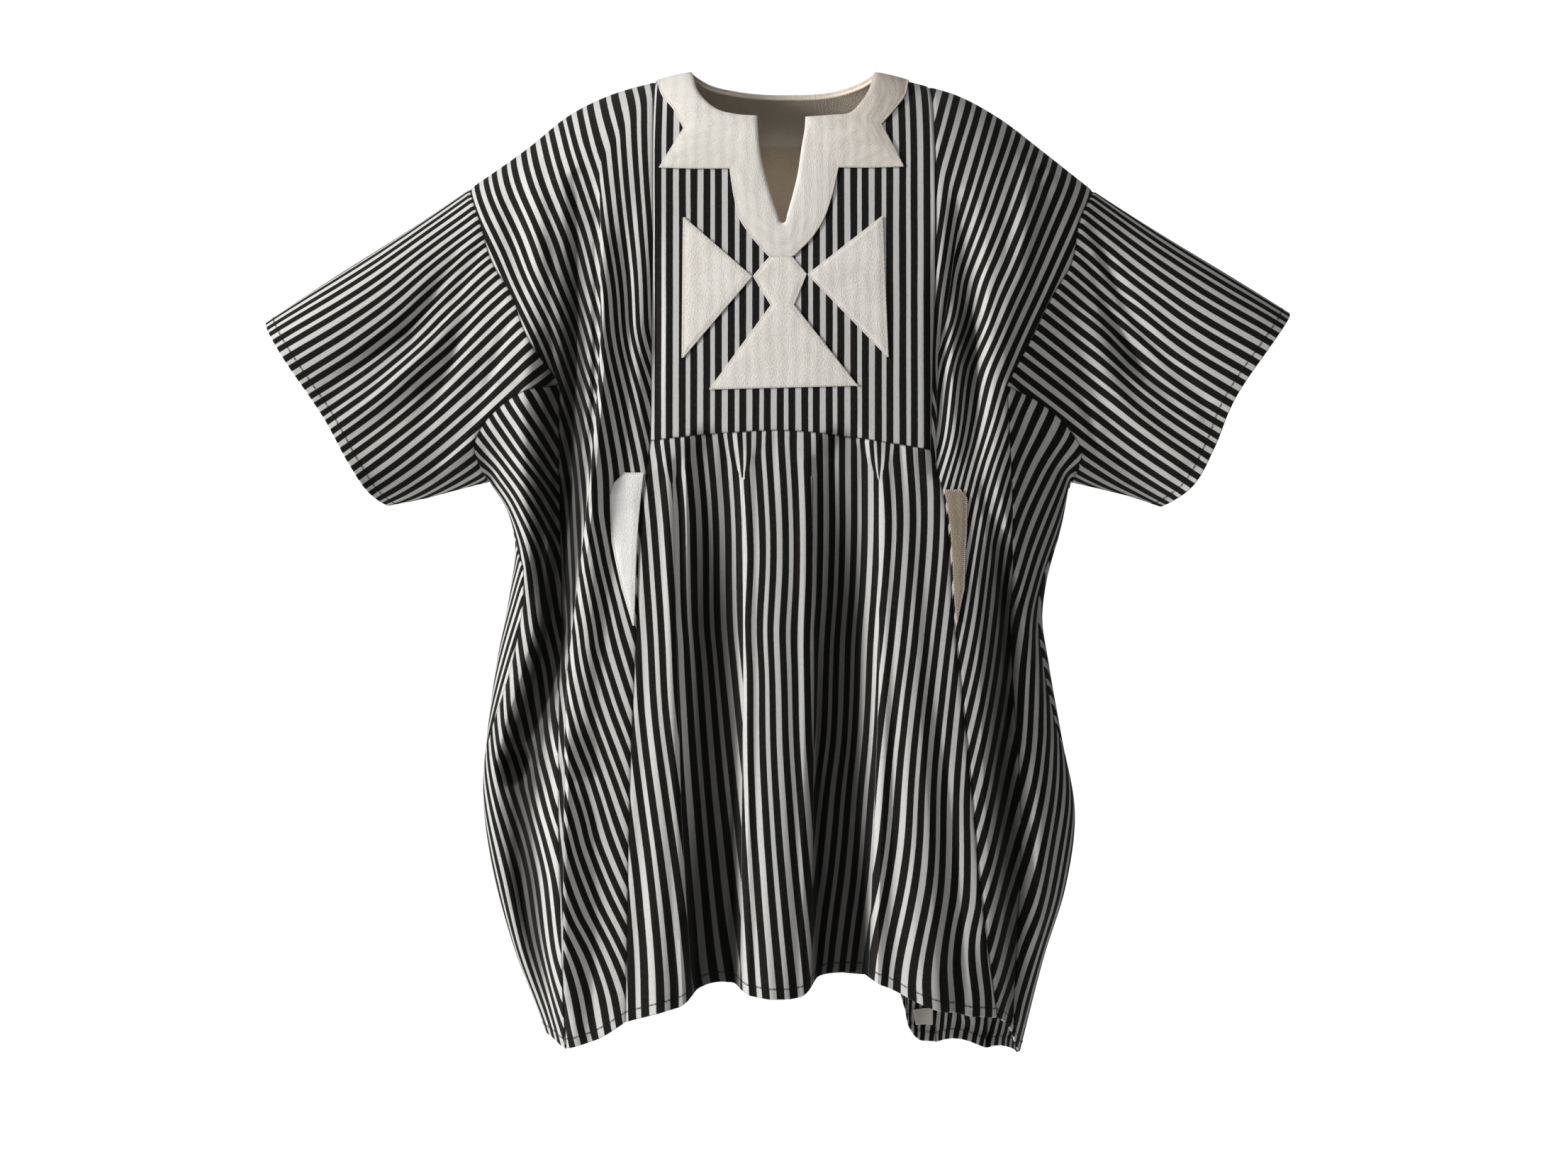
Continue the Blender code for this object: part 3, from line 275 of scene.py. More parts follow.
# Lines over the middle, from left to right
YOKE_BOTTOM = ((-125, -366), (-63, -360), (7, -357), (71, -364), (141, -375))
HEM_SKIRT = ((-148, -914), (-116, -904), (-90, -896), (-77, -885), (-50, -881), (-37, -886),
             (-7, -890), (22, -887), (36, -875), (55, -872), (76, -873), (92, -878), (131, -896),
             (164, -907), (205, -914))
HEM_BACK = ((-152, -931), (-120, -911), (-84, -900), (0, -896), (66, -898), (100, -903),
            (117, -914), (126, -938), (131, -960), (141, -973), (160, -975))
NECK_BACK = ((-91, 0), (-72, -7), (-49, -11), (3, -14), (60, -10), (79, -5), (92, 0))

# The neck's stations at the foot of the slit, and where its lines have corners
STATIONS_MIDDLE = (
    (-12.5, -132, -33, -168, 0.1), (-9, -143, -27, -176, 0.2), (-5.5, -153, -19, -185, 0.3),
    (-2, -161, -12, -192, 0.4), (0, -161.5, -1, -192.5, 0.5), (2, -161, 9, -192, 0.6),
    (5, -153, 17, -185, 0.7), (8, -143, 26, -176, 0.8), (11, -132, 32, -168, 0.9),
)
NECK_CORNERS = (0, 7, 15, 23, 30)
BAND_CORNERS = (0, 5, 6, 8, 22, 24, 25, 30)

# Rows of the back above the waist, as shares of its seam
BACK_SHARES = (0.0, 0.004, 0.025, 0.085, 0.125, 0.21, 0.32, 0.45, 0.6, 0.8, 1.0)

# Folds and creases. Each row has x and z of the start, bend and end, the
# widths at start and end, the heights at start, bend and end, and any flat share
FRONT_FOLDS = (
    # The skirt's recesses and swells
    (-66, -385, -64, -560, -63, -990, 30, 34, -3, -19, -40, 0.4),
    (55, -385, 54, -560, 56, -990, 36, 38, -3, -21, -44, 0.42),
    (-112, -400, -114, -600, -118, -990, 16, 24, 0, 5, 9, 0.1),
    (-9, -400, -8, -600, -6, -990, 22, 32, 1, 6, 10, 0.2),
    (108, -400, 124, -640, 140, -990, 20, 34, 1, 8, 12, 0.2),
    (128, -560, 150, -700, 168, -990, 12, 16, 0, -6, -9, 0.1),
    # Pulls at the chest piece's sides
    (-123, -160, -122, -290, -124, -385, 13, 12, -1, -8, -3),
    (146, -170, 145, -300, 144, -395, 13, 12, -1, -9, -3),
    # Left side
    (-206, -150, -215, -410, -228, -680, 32, 46, -4, -44, -12, 0.12),
    (-172, -180, -184, -420, -203, -660, 26, 28, 4, 15, 10, 0.1),
    (-148, -150, -153, -270, -156, -365, 14, 14, -2, -7, -1),
    (-205, -650, -207, -780, -206, -990, 26, 30, 9, 18, 20, 0.1),
    (-250, -640, -248, -770, -230, -930, 26, 24, -10, -24, -12, 0.1),
    (-264, -452, -240, -528, -262, -630, 20, 24, 0, 20, 6),
    # Right side
    (172, -150, 177, -280, 182, -380, 20, 20, -4, -24, -4, 0.1),
    (202, -170, 208, -350, 210, -480, 22, 26, 3, 9, 4, 0.1),
    (208, -470, 212, -640, 228, -900, 24, 26, -8, -25, -16, 0.1),
    (264, -455, 240, -532, 262, -650, 20, 24, 0, 16, 5),
    (252, -650, 250, -760, 232, -900, 18, 16, 4, 11, 4, 0.1),
    # Shoulders and sleeves
    (-240, -100, -232, -170, -222, -250, 16, 20, 3, 8, 4),
    (236, -98, 230, -170, 220, -250, 16, 20, 3, 8, 4),
    (-262, -112, -258, -160, -246, -215, 15, 17, -1, -5, -2),
    (262, -115, 256, -160, 244, -215, 15, 17, -1, -5, -2),
    (-312, -196, -350, -250, -428, -312, 17, 22, -3, -13, -3),
    (-318, -246, -366, -306, -420, -350, 20, 22, 3, 8, 3),
    (-266, -240, -277, -280, -297, -335, 15, 16, -1, -6, -2),
    (306, -196, 345, -290, 418, -343, 17, 22, -3, -13, -3),
    (296, -250, 322, -322, 380, -380, 20, 22, 3, 8, 3),
    (-299, -366, -325, -394, -352, -410, 14, 12, 4, 6, 2),
    (286, -372, 314, -392, 342, -407, 14, 12, 4, 6, 2),
    # Left valley, its walls and the roll beside it
    (-189, -120, -189, -290, -206, -500, 19, 21, -6, -14, -6, 0.45),
    (-214, -150, -215, -260, -224, -400, 9, 10, 2, 5, 2),
    (-168, -150, -170, -320, -190, -490, 7, 8, 2, 6, 4),
    (-190, -490, -199, -600, -206, -900, 7, 7, 4, 5, 3),
    (-213, -405, -216, -530, -258, -680, 14, 24, -9, -23, -13, 0.4),
    (-258, -680, -262, -790, -244, -925, 26, 20, -11, -10, -7, 0.3),
    (-177, -150, -179, -330, -200, -500, 6, 8, -3, -9, -5),
    (-129, -240, -130, -300, -128, -370, 6, 6, 0, -4, 0),
    (-222, -95, -214, -120, -204, -150, 8, 9, 0, 4, 0),
    (-246, -120, -236, -150, -224, -185, 9, 9, 0, -4, 0),
    (-262, -150, -248, -190, -236, -215, 8, 8, 0, 3.5, 0),
    # Right valley and shoulder
    (166, -130, 155, -260, 150, -400, 9, 10, -2, -9, -3),
    (186, -130, 172, -250, 166, -380, 12, 12, 1, 4, 1),
    (226, -70, 247, -110, 262, -152, 8, 9, 0, -5, 0),
    (240, -70, 260, -108, 272, -140, 8, 8, 0, 4, 0),
    (194, -412, 214, -506, 222, -640, 12, 14, -4, -14, -4, 0.2),
    # Skirt: deeper recesses and the rolls at their edges
    (-66, -376, -65, -500, -64, -700, 28, 28, -6, -11, -2, 0.45),
    (60, -376, 59, -500, 58, -700, 28, 28, -6, -11, -2, 0.45),
    (-110, -385, -104, -600, -92, -905, 7, 8, 2, 3, 3),
    (-98, -385, -93, -600, -82, -905, 7, 8, -3, -5, -6),
    (-32, -380, -31, -600, -34, -890, 7, 8, 2, 4, 4),
    (-43, -380, -43, -600, -46, -890, 6, 7, -3, -6, -6),
    (22, -385, 23, -600, 22, -890, 7, 8, 1, 3, 3),
    (33, -385, 34, -600, 33, -890, 6, 7, -3, -7, -7),
    (86, -385, 85, -600, 75, -890, 6, 7, -3, -6, -6),
    (97, -385, 97, -600, 88, -895, 8, 9, 2, 4, 4),
    # Gathers below the chest piece
    (-84, -364, -84, -388, -86, -420, 4, 5, -1.6, -1.4, 0),
    (-71, -363, -72, -381, -72, -402, 4, 4, -1.2, -1.0, 0),
    (-55, -362, -56, -392, -57, -436, 4, 6, -1.8, -1.5, 0),
    (-24, -360, -24, -380, -25, -404, 4, 4, -1.1, -0.9, 0),
    (-7, -359, -8, -390, -8, -430, 4, 5, -1.4, -1.1, 0),
    (10, -359, 10, -378, 10, -398, 3, 4, -1.0, -0.8, 0),
    (47, -362, 47, -386, 47, -422, 4, 5, -1.7, -1.4, 0),
    (64, -363, 64, -380, 64, -400, 4, 4, -1.2, -1.0, 0),
    (76, -366, 76, -392, 76, -432, 4, 5, -1.6, -1.2, 0),
    (112, -372, 114, -396, 116, -430, 4, 5, -1.5, -1.2, 0),
    (128, -376, 131, -404, 135, -446, 4, 5, -1.3, -1.1, 0),
    # Sleeves: the pinch from the armhole to the cuff and the wrinkle below it
    (-296, -168, -333, -232, -425, -322, 8, 10, 1, 4, 1),
    (-290, -180, -325, -246, -405, -325, 8, 10, -1, -5, -1),
    (-262, -228, -278, -272, -296, -330, 7, 8, 1, 3.5, 1),
    (-300, -230, -318, -280, -348, -345, 16, 18, -1, -6, -2),
    (288, -160, 333, -259, 398, -340, 9, 11, 1, 5, 2),
    (299, -160, 346, -255, 406, -325, 9, 10, -1, -5, -2),
    (262, -300, 290, -330, 304, -372, 8, 8, 0, -4, -1),
    # Hem
    (-128, -850, -126, -880, -124, -920, 7, 8, 0, -1.5, -2.5),
    (-14, -830, -12, -860, -10, -900, 9, 10, 0, 1.5, 2.5),
    (120, -840, 124, -870, 128, -910, 7, 9, 0, -2, -3),
    (152, -830, 158, -870, 164, -915, 7, 9, 0, -2.5, -3.5),
    (180, -820, 186, -870, 190, -915, 6, 8, 0, -2, -3),
)
BACK_FOLDS = (
    (-78, -420, -76, -640, -82, -990, 26, 36, -3, -16, -32, 0.3),
    (70, -400, 72, -620, 78, -990, 28, 38, -3, -18, -34, 0.3),
    (-6, -420, -4, -640, -2, -990, 24, 34, 1, 7, 12, 0.2),
    (142, -700, 148, -860, 156, -1010, 18, 30, 2, 10, 18, 0.1),
    (-150, -110, -158, -300, -166, -520, 18, 26, 3, 12, 6, 0.1),
    (160, -120, 168, -300, 172, -540, 18, 26, 3, 11, 6, 0.1),
    (-196, -200, -204, -400, -212, -640, 18, 28, -4, -34, -12, 0.1),
    (200, -190, 206, -410, 212, -660, 18, 28, -4, -32, -12, 0.1),
    (-236, -600, -240, -760, -224, -940, 20, 20, 4, 12, 8, 0.1),
    (236, -600, 242, -760, 222, -960, 20, 20, 4, 12, 8, 0.1),
    (-306, -190, -352, -262, -420, -318, 17, 22, -3, -12, -3),
    (304, -190, 350, -266, 412, -330, 17, 22, -3, -12, -3),
    (-2, -60, 0, -130, 2, -220, 26, 30, -2, -5, -2, 0.2),
    (-204, -180, -208, -330, -214, -560, 9, 11, -2, -6, -2),
    (208, -180, 210, -330, 214, -560, 9, 11, -2, -6, -2),
    (-108, -430, -106, -640, -112, -940, 8, 10, 1, 3, 3),
    (-46, -430, -44, -640, -50, -900, 8, 10, 1, 3, 4),
    (38, -420, 40, -640, 44, -900, 8, 10, 1, 3, 4),
    (100, -420, 104, -640, 110, -910, 8, 10, 1, 3, 3),
    (-60, -250, -72, -330, -76, -430, 12, 16, 0, -4, -3),
    (58, -240, 68, -330, 70, -410, 12, 16, 0, -4, -3),
    (-34, -90, -60, -160, -100, -250, 10, 14, 0, -4, -1),
    (38, -90, 66, -170, 104, -260, 10, 14, 0, -4, -1),
    (-170, -560, -176, -700, -184, -920, 10, 14, 0, -5, -7),
    (182, -560, 186, -700, 190, -940, 10, 14, 0, -5, -7),
    (-296, -168, -333, -232, -420, -318, 8, 10, 1, 4, 1),
    (288, -160, 333, -259, 392, -336, 9, 11, 1, 5, 2),
    (-150, -60, -190, -110, -236, -170, 9, 10, 0, 3, 0),
    (156, -60, 196, -112, 238, -176, 9, 10, 0, 3, 0),
)

# Guide stripes, read off the cloth. Each row has its count from the piece's first
# light stripe, then x and z of the spots that it runs through. The stripes between them
# follow. A piece's parts go from left to right
RUNS: dict[str, tuple[Runs, ...]] = {
    "side_front_left": (
        ((5, -194, -46, -185, -76, -173, -108), (8, -217, -65, -194, -140, -172, -217),
         (11, -240, -105, -209, -177, -178, -286),
         (14, -270, -125, -238, -200, -208, -260, -181, -338),
         (17, -270, -187, -224, -288, -198, -377, -189, -466),
         (20, -216, -486, -210, -535, -205, -580), (24, -211, -779, -205, -873)),
        ((1, -137, -35, -131, -150, -127, -263), (4, -172, -45, -158, -160, -142, -284, -132, -315),
         (7, -169, -231, -163, -293, -150, -355, -139, -403),
         (10, -173, -437, -165, -481, -139, -565), (13, -189, -474, -178, -562, -147, -646),
         (16, -199, -553, -187, -628, -146, -736), (19, -202, -668, -183, -743, -150, -812),
         (22, -206, -739, -186, -816, -151, -887), (25, -202, -845, -187, -919)),),
    "side_front_right": (
        ((0, 141, -32, 130, -125, 124, -216, 130, -348),
         (2, 163, -38, 148, -145, 136, -242, 138, -325),
         (4, 186, -44, 168, -135, 151, -230, 146, -320)),
        ((5, 205, -58, 183, -121, 159, -217, 153, -250),
         (8, 230, -80, 204, -150, 175, -214, 156, -298, 149, -365),
         (11, 251, -112, 216, -205, 176, -294, 158, -398),
         (14, 286, -121, 243, -215, 199, -312, 176, -398),
         (17, 236, -308, 201, -388, 185, -465, 173, -533), (20, 205, -462, 192, -574, 174, -653),
         (23, 226, -527, 218, -594, 186, -734), (26, 248, -609, 232, -696, 195, -820),
         (30, 278, -725, 231, -879, 213, -912)),),
    "gore_front_left": (
        ((0, -224, -312, -217, -335), (3, -263, -324, -238, -356, -221, -391),
         (6, -281, -347, -263, -377, -239, -403, -224, -434),
         (9, -267, -417, -250, -444, -234, -475, -223, -540),
         (12, -241, -581, -234, -633, -214, -699),
         (15, -268, -640, -245, -708, -219, -779, -211, -851),
         (19, -288, -705, -252, -852, -227, -923)),),
    "gore_back_left": (
        ((0, -245, -487, -265, -535, -283, -583), (2, -247, -529, -264, -578, -282, -626)),),
    "gore_front_right": (
        ((15, 204, -326, 185, -381, 181, -410), (18, 233, -338, 213, -385, 193, -438),
         (21, 271, -367, 231, -433, 212, -505), (24, 262, -456, 233, -523, 224, -590, 218, -662),
         (27, 256, -637, 241, -710, 197, -854), (31, 279, -755, 269, -817, 239, -913)),),
    "sleeve_left": (
        ((0, -487, -256, -430, -226, -299, -134), (3, -469, -287, -367, -225, -297, -167),
         (6, -450, -319, -404, -289, -360, -255, -304, -195),
         (9, -429, -337, -387, -306, -355, -278, -333, -247, -281, -197),
         (12, -415, -360, -345, -297, -272, -236),
         (15, -397, -385, -348, -346, -300, -306, -248, -255),
         (19, -346, -402, -299, -364, -231, -309)),),
    "sleeve_right": (
        ((0, 303, -137, 350, -175, 396, -206, 470, -250),
         (3, 289, -169, 332, -208, 379, -241, 454, -282),
         (6, 282, -190, 330, -236, 376, -278, 431, -311),
         (9, 266, -220, 320, -256, 361, -306, 413, -343), (12, 249, -254, 328, -310, 405, -368),
         (17, 222, -308, 298, -360, 372, -413)),),
    "skirt_front": (
        ((1, -111, -379, -100, -500, -94, -606),
         (-2, -139, -440, -130, -560, -108, -760, -94, -879), (-5, -144, -773, -136, -906)),
        ((2, -101, -430, -95, -553, -76, -871), (4, -85, -380, -79, -546, -60, -740, -40, -874),
         (7, -51, -379, -46, -500, -37, -620)),
        ((9, -35, -480, -35, -582, -33, -730, -23, -878),
         (12, -7, -379, -7, -546, 1, -712, 17, -877), (15, 28, -379, 30, -520, 30, -652)),
        ((16, 41, -379, 40, -520, 34, -653), (18, 62, -379, 57, -550, 48, -690, 35, -808),
         (21, 94, -460, 84, -640, 73, -787, 62, -869)),
        ((23, 101, -379, 106, -440, 97, -553), (26, 140, -412, 130, -566, 112, -740, 89, -885),
         (29, 160, -568, 147, -723, 126, -876), (32, 179, -707, 181, -807, 178, -894),
         (34, 194, -834, 202, -910)),),
}

# Lines between the parts, where cloth turns under and its stripes with it
ROLLS: dict[str, tuple[Line, ...]] = {
    "side_front_left": (((-174, -101), (-172, -265), (-182, -406), (-205, -587), (-206, -922)),),
    "side_front_right": (((170, -140), (160, -216), (148, -284), (146, -365), (145, -553)),),
    "skirt_front": (
        ((-104, -408), (-99, -586), (-95, -720), (-85, -903)),
        ((-38, -402), (-37, -586), (-40, -878)),
        ((28, -402), (30, -587), (28, -875)),
        ((91, -402), (91, -586), (81, -889)),
    ),
}


class Path:
    """A smooth line through a few points in x and z, read at shares of its length."""

    def __init__(self, points: Sequence[Sequence[float]]) -> None:
        """Works out the line's knots and tangents.

        Args:
            points: The points it passes, in millimetres.
        """
        self.points = np.array(points, dtype=float)
        steps = np.linalg.norm(np.diff(self.points, axis=0), axis=1)
        self.length = float(steps.sum())
        self.knots = np.concatenate([[0.0], np.cumsum(steps)]) / self.length
        slopes = np.diff(self.points, axis=0) / np.diff(self.knots)[:, None]
        self.tangents = np.empty_like(self.points)
        self.tangents[0], self.tangents[-1] = slopes[0], slopes[-1]
        spans = np.diff(self.knots)
        for i in range(1, len(self.points) - 1):
            share = spans[i - 1] / (spans[i - 1] + spans[i])
            self.tangents[i] = (1 - share) * slopes[i - 1] + share * slopes[i]

    def at(self, shares: Sequence[float]) -> Grid:
        """Points on the line.

        Args:
            shares: From 0 at the start to 1 at the end.

        Returns:
            One point for each share.
        """
        shares = np.atleast_1d(np.asarray(shares, dtype=float))
        span = np.clip(np.searchsorted(self.knots, shares, side="right") - 1,
                       0, len(self.knots) - 2)
        width = (self.knots[span + 1] - self.knots[span])[:, None]
        t = (shares[:, None] - self.knots[span][:, None]) / width
        start, end = self.points[span], self.points[span + 1]
        leave, arrive = self.tangents[span] * width, self.tangents[span + 1] * width
        return ((2 * t**3 - 3 * t**2 + 1) * start + (t**3 - 2 * t**2 + t) * leave
                + (3 * t**2 - 2 * t**3) * end + (t**3 - t**2) * arrive)


def smooth_step(value: Grid) -> Grid:
    """0 below 0, 1 above 1, and a soft rise between."""
    t = np.clip(value, 0.0, 1.0)
    return t * t * (3 - 2 * t)


def even(count: int) -> Grid:
    """Shares of equal steps."""
    return np.linspace(0.0, 1.0, count + 1)


def from_arc(arc: Grid, turn: float) -> Grid:
    """Distance in from the fold line after a walk over its round edge."""
    arc = np.asarray(arc, dtype=float)
    quarter = turn * math.pi / 2
    return np.where(arc < quarter, turn * (1 - np.cos(np.minimum(arc, quarter) / turn)),
                    arc - quarter + turn)


def to_arc(distance: Grid, turn: float) -> Grid:
    """The walk over the round edge that ends a distance in from the fold line."""
    distance = np.asarray(distance, dtype=float)
    bent = turn * np.arccos(np.clip(1 - distance / turn, -1.0, 1.0))
    return np.where(distance < turn, bent, distance - turn + turn * math.pi / 2)


def finer(knots: Sequence[float], steps: int, reach: float, turn: float) -> Grid:
    """Divides the steps between shares, evenly over cloth that turns at the fold.

    Args:
        knots: Rising shares of a line.
        steps: How many parts each step gets.
        reach: The line's length.
        turn: Radius of the turn at its start.

    Returns:
        The finer shares.
    """
    arcs = to_arc(np.asarray(knots, dtype=float) * reach, turn)
    places = np.linspace(0, len(arcs) - 1, (len(arcs) - 1) * steps + 1)
    return from_arc(np.interp(places, np.arange(len(arcs)), arcs), turn) / reach


def lengthwise(line: Grid) -> Grid:
    """Share of a line's length reached at each of its points."""
    steps = np.concatenate([[0.0], np.cumsum(np.linalg.norm(np.diff(line, axis=0), axis=1))])
    return steps / steps[-1]


def coons(top: Grid, bottom: Grid, left: Grid, right: Grid) -> Grid:
    """A grid that fits four edges.

    Args:
        top: Points from left to right.
        bottom: Points from left to right.
        left: Points from top to bottom.
        right: Points from top to bottom.

    Returns:
        Rows of points, from top to bottom.
    """
    u = ((lengthwise(top) + lengthwise(bottom)) / 2)[None, :, None]
    v = ((lengthwise(left) + lengthwise(right)) / 2)[:, None, None]
    ruled = (1 - v) * top[None] + v * bottom[None]
    cross = (1 - u) * left[:, None] + u * right[:, None]
    corners = ((1 - u) * (1 - v) * top[0] + u * (1 - v) * top[-1]
               + (1 - u) * v * bottom[0] + u * v * bottom[-1])
    return ruled + cross - corners


def across(inner: Grid, outer: Grid, shares: Grid) -> Grid:
    """A grid of straight rows from an inner line to an outer line."""
    shares = shares[None, :, None]
    return inner[:, None] * (1 - shares) + outer[:, None] * shares


def unit(vectors: Grid) -> Grid:
    """Vectors brought to length one, where they have any length."""
    return vectors / np.maximum(np.linalg.norm(vectors, axis=-1, keepdims=True), TINY)


def x_at(line: Grid, z: Grid) -> Grid:
    """Where a line that goes down stands at each height."""
    return np.interp(-z, -line[:, 1], line[:, 0])


def read_table(table: Line, value: Grid) -> Grid:
    """Values read from a table of pairs."""
    rows = np.array(sorted(table), dtype=float)
    return np.interp(value, rows[:, 0], rows[:, 1])


def join(*lines: Grid) -> Grid:
    """Lines end to end, each shared point once."""
    return np.concatenate([lines[0]] + [line[1:] for line in lines[1:]])


def close_to_ends(shares: Grid, start: bool = True, end: bool = True) -> Grid:
    """Adds a share close to one or both ends, where a seam rounds the cloth."""
    first = [shares[0] + SEAM_ROW * (shares[1] - shares[0])] if start else []
    last = [shares[-1] - SEAM_ROW * (shares[-1] - shares[-2])] if end else []
    return np.sort(np.concatenate([shares, first, last]))


def walk(points: Grid, axis: int) -> Grid:
    """Length walked over a grid along one axis, from its first line."""
    steps = np.linalg.norm(np.diff(points, axis=axis), axis=2)
    total = np.cumsum(steps, axis=axis)
    return np.insert(total, 0, 0.0, axis=axis)


@dataclass(frozen=True)
class Fold:
    """A ridge or hollow of the cloth along a centre line, with its widths and heights."""

    line: Grid
    widths: tuple[float, float]
    heights: tuple[float, float, float]
    flat: float = 0.0

    @classmethod
    def read(cls, row: tuple[float, ...]) -> "Fold":
        """The fold that one row of the table of folds gives."""
        line = Path(np.reshape(row[:6], (3, 2))).at(even(10))
        return cls(line, row[6:8], row[8:11], *row[11:])


class WornForm:
    """The worn smock's shape: how deep any spot of its front or back lies."""

    outline_step = 5.0
    block = 2000
    sleeve_depth = 56.0
    sleeve_turn = 62.0
    sleeve_forward = 20.0
    sleeve_start = 190.0
    sleeve_blend = 150.0
    lean_start = 240.0
    lean_blend = 260.0
    crown_half_width = 250.0
    crown_reach = 1.2
    fold_fade = 26.0
    deep_fold = 25.0

    def __init__(self) -> None:
        """Lays out the fold line of the outline and the centre line of each fold."""
        lines = [line for half in HALVES
                 for line in (half.shoulder, half.sleeve_top, half.sleeve_bottom, half.side)]
        paths = [Path(line) for line in (*lines, (LEFT.shoulder[0], RIGHT.shoulder[0]))]
        dots = [path.at(even(max(2, round(path.length / self.outline_step)))) for path in paths]
        self.starts = np.concatenate([line[:-1] for line in dots])
        self.runs = np.concatenate([np.diff(line, axis=0) for line in dots])
        self.folds = {Face.FRONT: [Fold.read(row) for row in FRONT_FOLDS],
                      Face.BACK: [Fold.read(row) for row in BACK_FOLDS]}

    def from_edge(self, x: Grid, z: Grid) -> Grid:
        """Distance of each spot from the fold line of the outline."""
        distance = np.empty_like(x)
        squares = (self.runs**2).sum(axis=1)
        for first in range(0, len(x), self.block):
            part = slice(first, first + self.block)
            dx = x[part, None] - self.starts[None, :, 0]
            dz = z[part, None] - self.starts[None, :, 1]
            share = np.clip((dx * self.runs[:, 0] + dz * self.runs[:, 1]) / squares, 0, 1)
            gap = (dx - share * self.runs[:, 0])**2 + (dz - share * self.runs[:, 1])**2
            distance[part] = np.sqrt(gap.min(axis=1))
        return distance

    def plain(self, x: Grid, z: Grid, face: Face) -> tuple[Grid, Grid, Grid]:
        """Depth, turning radius and forward lean of the form before it folds."""
        rows = SECTIONS[::-1]
        heights = [row.z for row in rows]

        def read(name: str) -> Grid:
            """One of the section's sizes at each height."""
            return np.interp(z, heights, [getattr(row, name) for row in rows])

        reach = np.abs(x)
        sleeve = smooth_step((reach - self.sleeve_start) / self.sleeve_blend)
        share = np.minimum(reach / self.crown_half_width, self.crown_reach)
        body = read(face.word) * (1 - read("crown") * share**2)
        depth = body + (self.sleeve_depth - body) * sleeve
        turn = read("turn") + (self.sleeve_turn - read("turn")) * sleeve
        lean = -self.sleeve_forward * smooth_step((reach - self.lean_start) / self.lean_blend)
        return depth, turn, lean

    def fold_height(self, x: Grid, z: Grid, face: Face) -> Grid:
        """How far the folds and creases stand out of the plain form."""
        total = np.zeros_like(x)
        for fold in self.folds[face]:
            line, width = fold.line, max(fold.widths)
            low, high = line.min(axis=0) - width, line.max(axis=0) + width
            near = (x > low[0]) & (x < high[0]) & (z > low[1]) & (z < high[1])
            if not near.any():
                continue
            spots = np.stack([x[near], z[near]], axis=1)
            starts, runs = line[:-1], np.diff(line, axis=0)
            offset = spots[:, None, :] - starts[None]
            share = np.clip((offset * runs).sum(axis=2) / (runs**2).sum(axis=1), 0, 1)
            gap = np.linalg.norm(offset - share[:, :, None] * runs, axis=2)
            nearest = gap.argmin(axis=1)
            picked = np.arange(len(spots))
            along = (nearest + share[picked, nearest]) / len(runs)
            breadth = fold.widths[0] + (fold.widths[1] - fold.widths[0]) * along
            height = np.interp(along, (0, 0.5, 1), fold.heights)
            aside = gap[picked, nearest] / breadth
            total[near] += height * (1 - smooth_step((aside - fold.flat) / (1 - fold.flat)))
        return total

    def curl(self, points: Grid, turn: float) -> Grid:
        """How much longer the cloth is than it looks, from the fold line to each point."""
        distance = self.from_edge(points[..., 0].ravel(), points[..., 2].ravel())
        return (to_arc(distance, turn) - distance).reshape(points.shape[:-1])

    def hollow(self, points: Grid) -> Grid:
        """How deep in a fold each point lies, from 0 on plain cloth to 1."""
        x, y, z = (points[..., part].ravel() for part in range(3))
        fade = smooth_step(self.from_edge(x, z) / self.fold_fade)
        front, back = (-self.fold_height(x, z, face) * fade for face in Face)
        chosen = np.where(y < self.plain(x, z, Face.FRONT)[2], front, back)
        return smooth_step(chosen / self.deep_fold).reshape(points.shape[:-1])

    def place(self, spots: Grid, face: Face, on_fold: Grid | None = None) -> Grid:
        """Gives spots their depth.

        Args:
            spots: A grid of x and z.
            face: The face they lie on.
            on_fold: Marks the spots that lie on the fold line.

        Returns:
            A grid of x, y and z.
        """
        x, z = spots[..., 0].ravel(), spots[..., 1].ravel()
        distance = self.from_edge(x, z)
        if on_fold is not None:
            distance = np.where(on_fold.ravel(), 0.0, distance)
        depth, turn, lean = self.plain(x, z, face)
        inner = np.clip(1 - distance / turn, 0.0, 1.0)
        rise = np.sqrt(1 - inner**2)
        swell = self.fold_height(x, z, face) * smooth_step(distance / self.fold_fade)
        y = lean + face.value * np.maximum(depth * rise + swell, SEAM_GAP / 2)
        return np.stack([x, y, z], axis=1).reshape(*spots.shape[:-1], 3)


def link(name: str, data: Any) -> bpy.types.Object:
    """Puts an object that shows some data in the scene."""
    made = bpy.data.objects.new(name, data)
    bpy.context.scene.collection.objects.link(made)
    return made


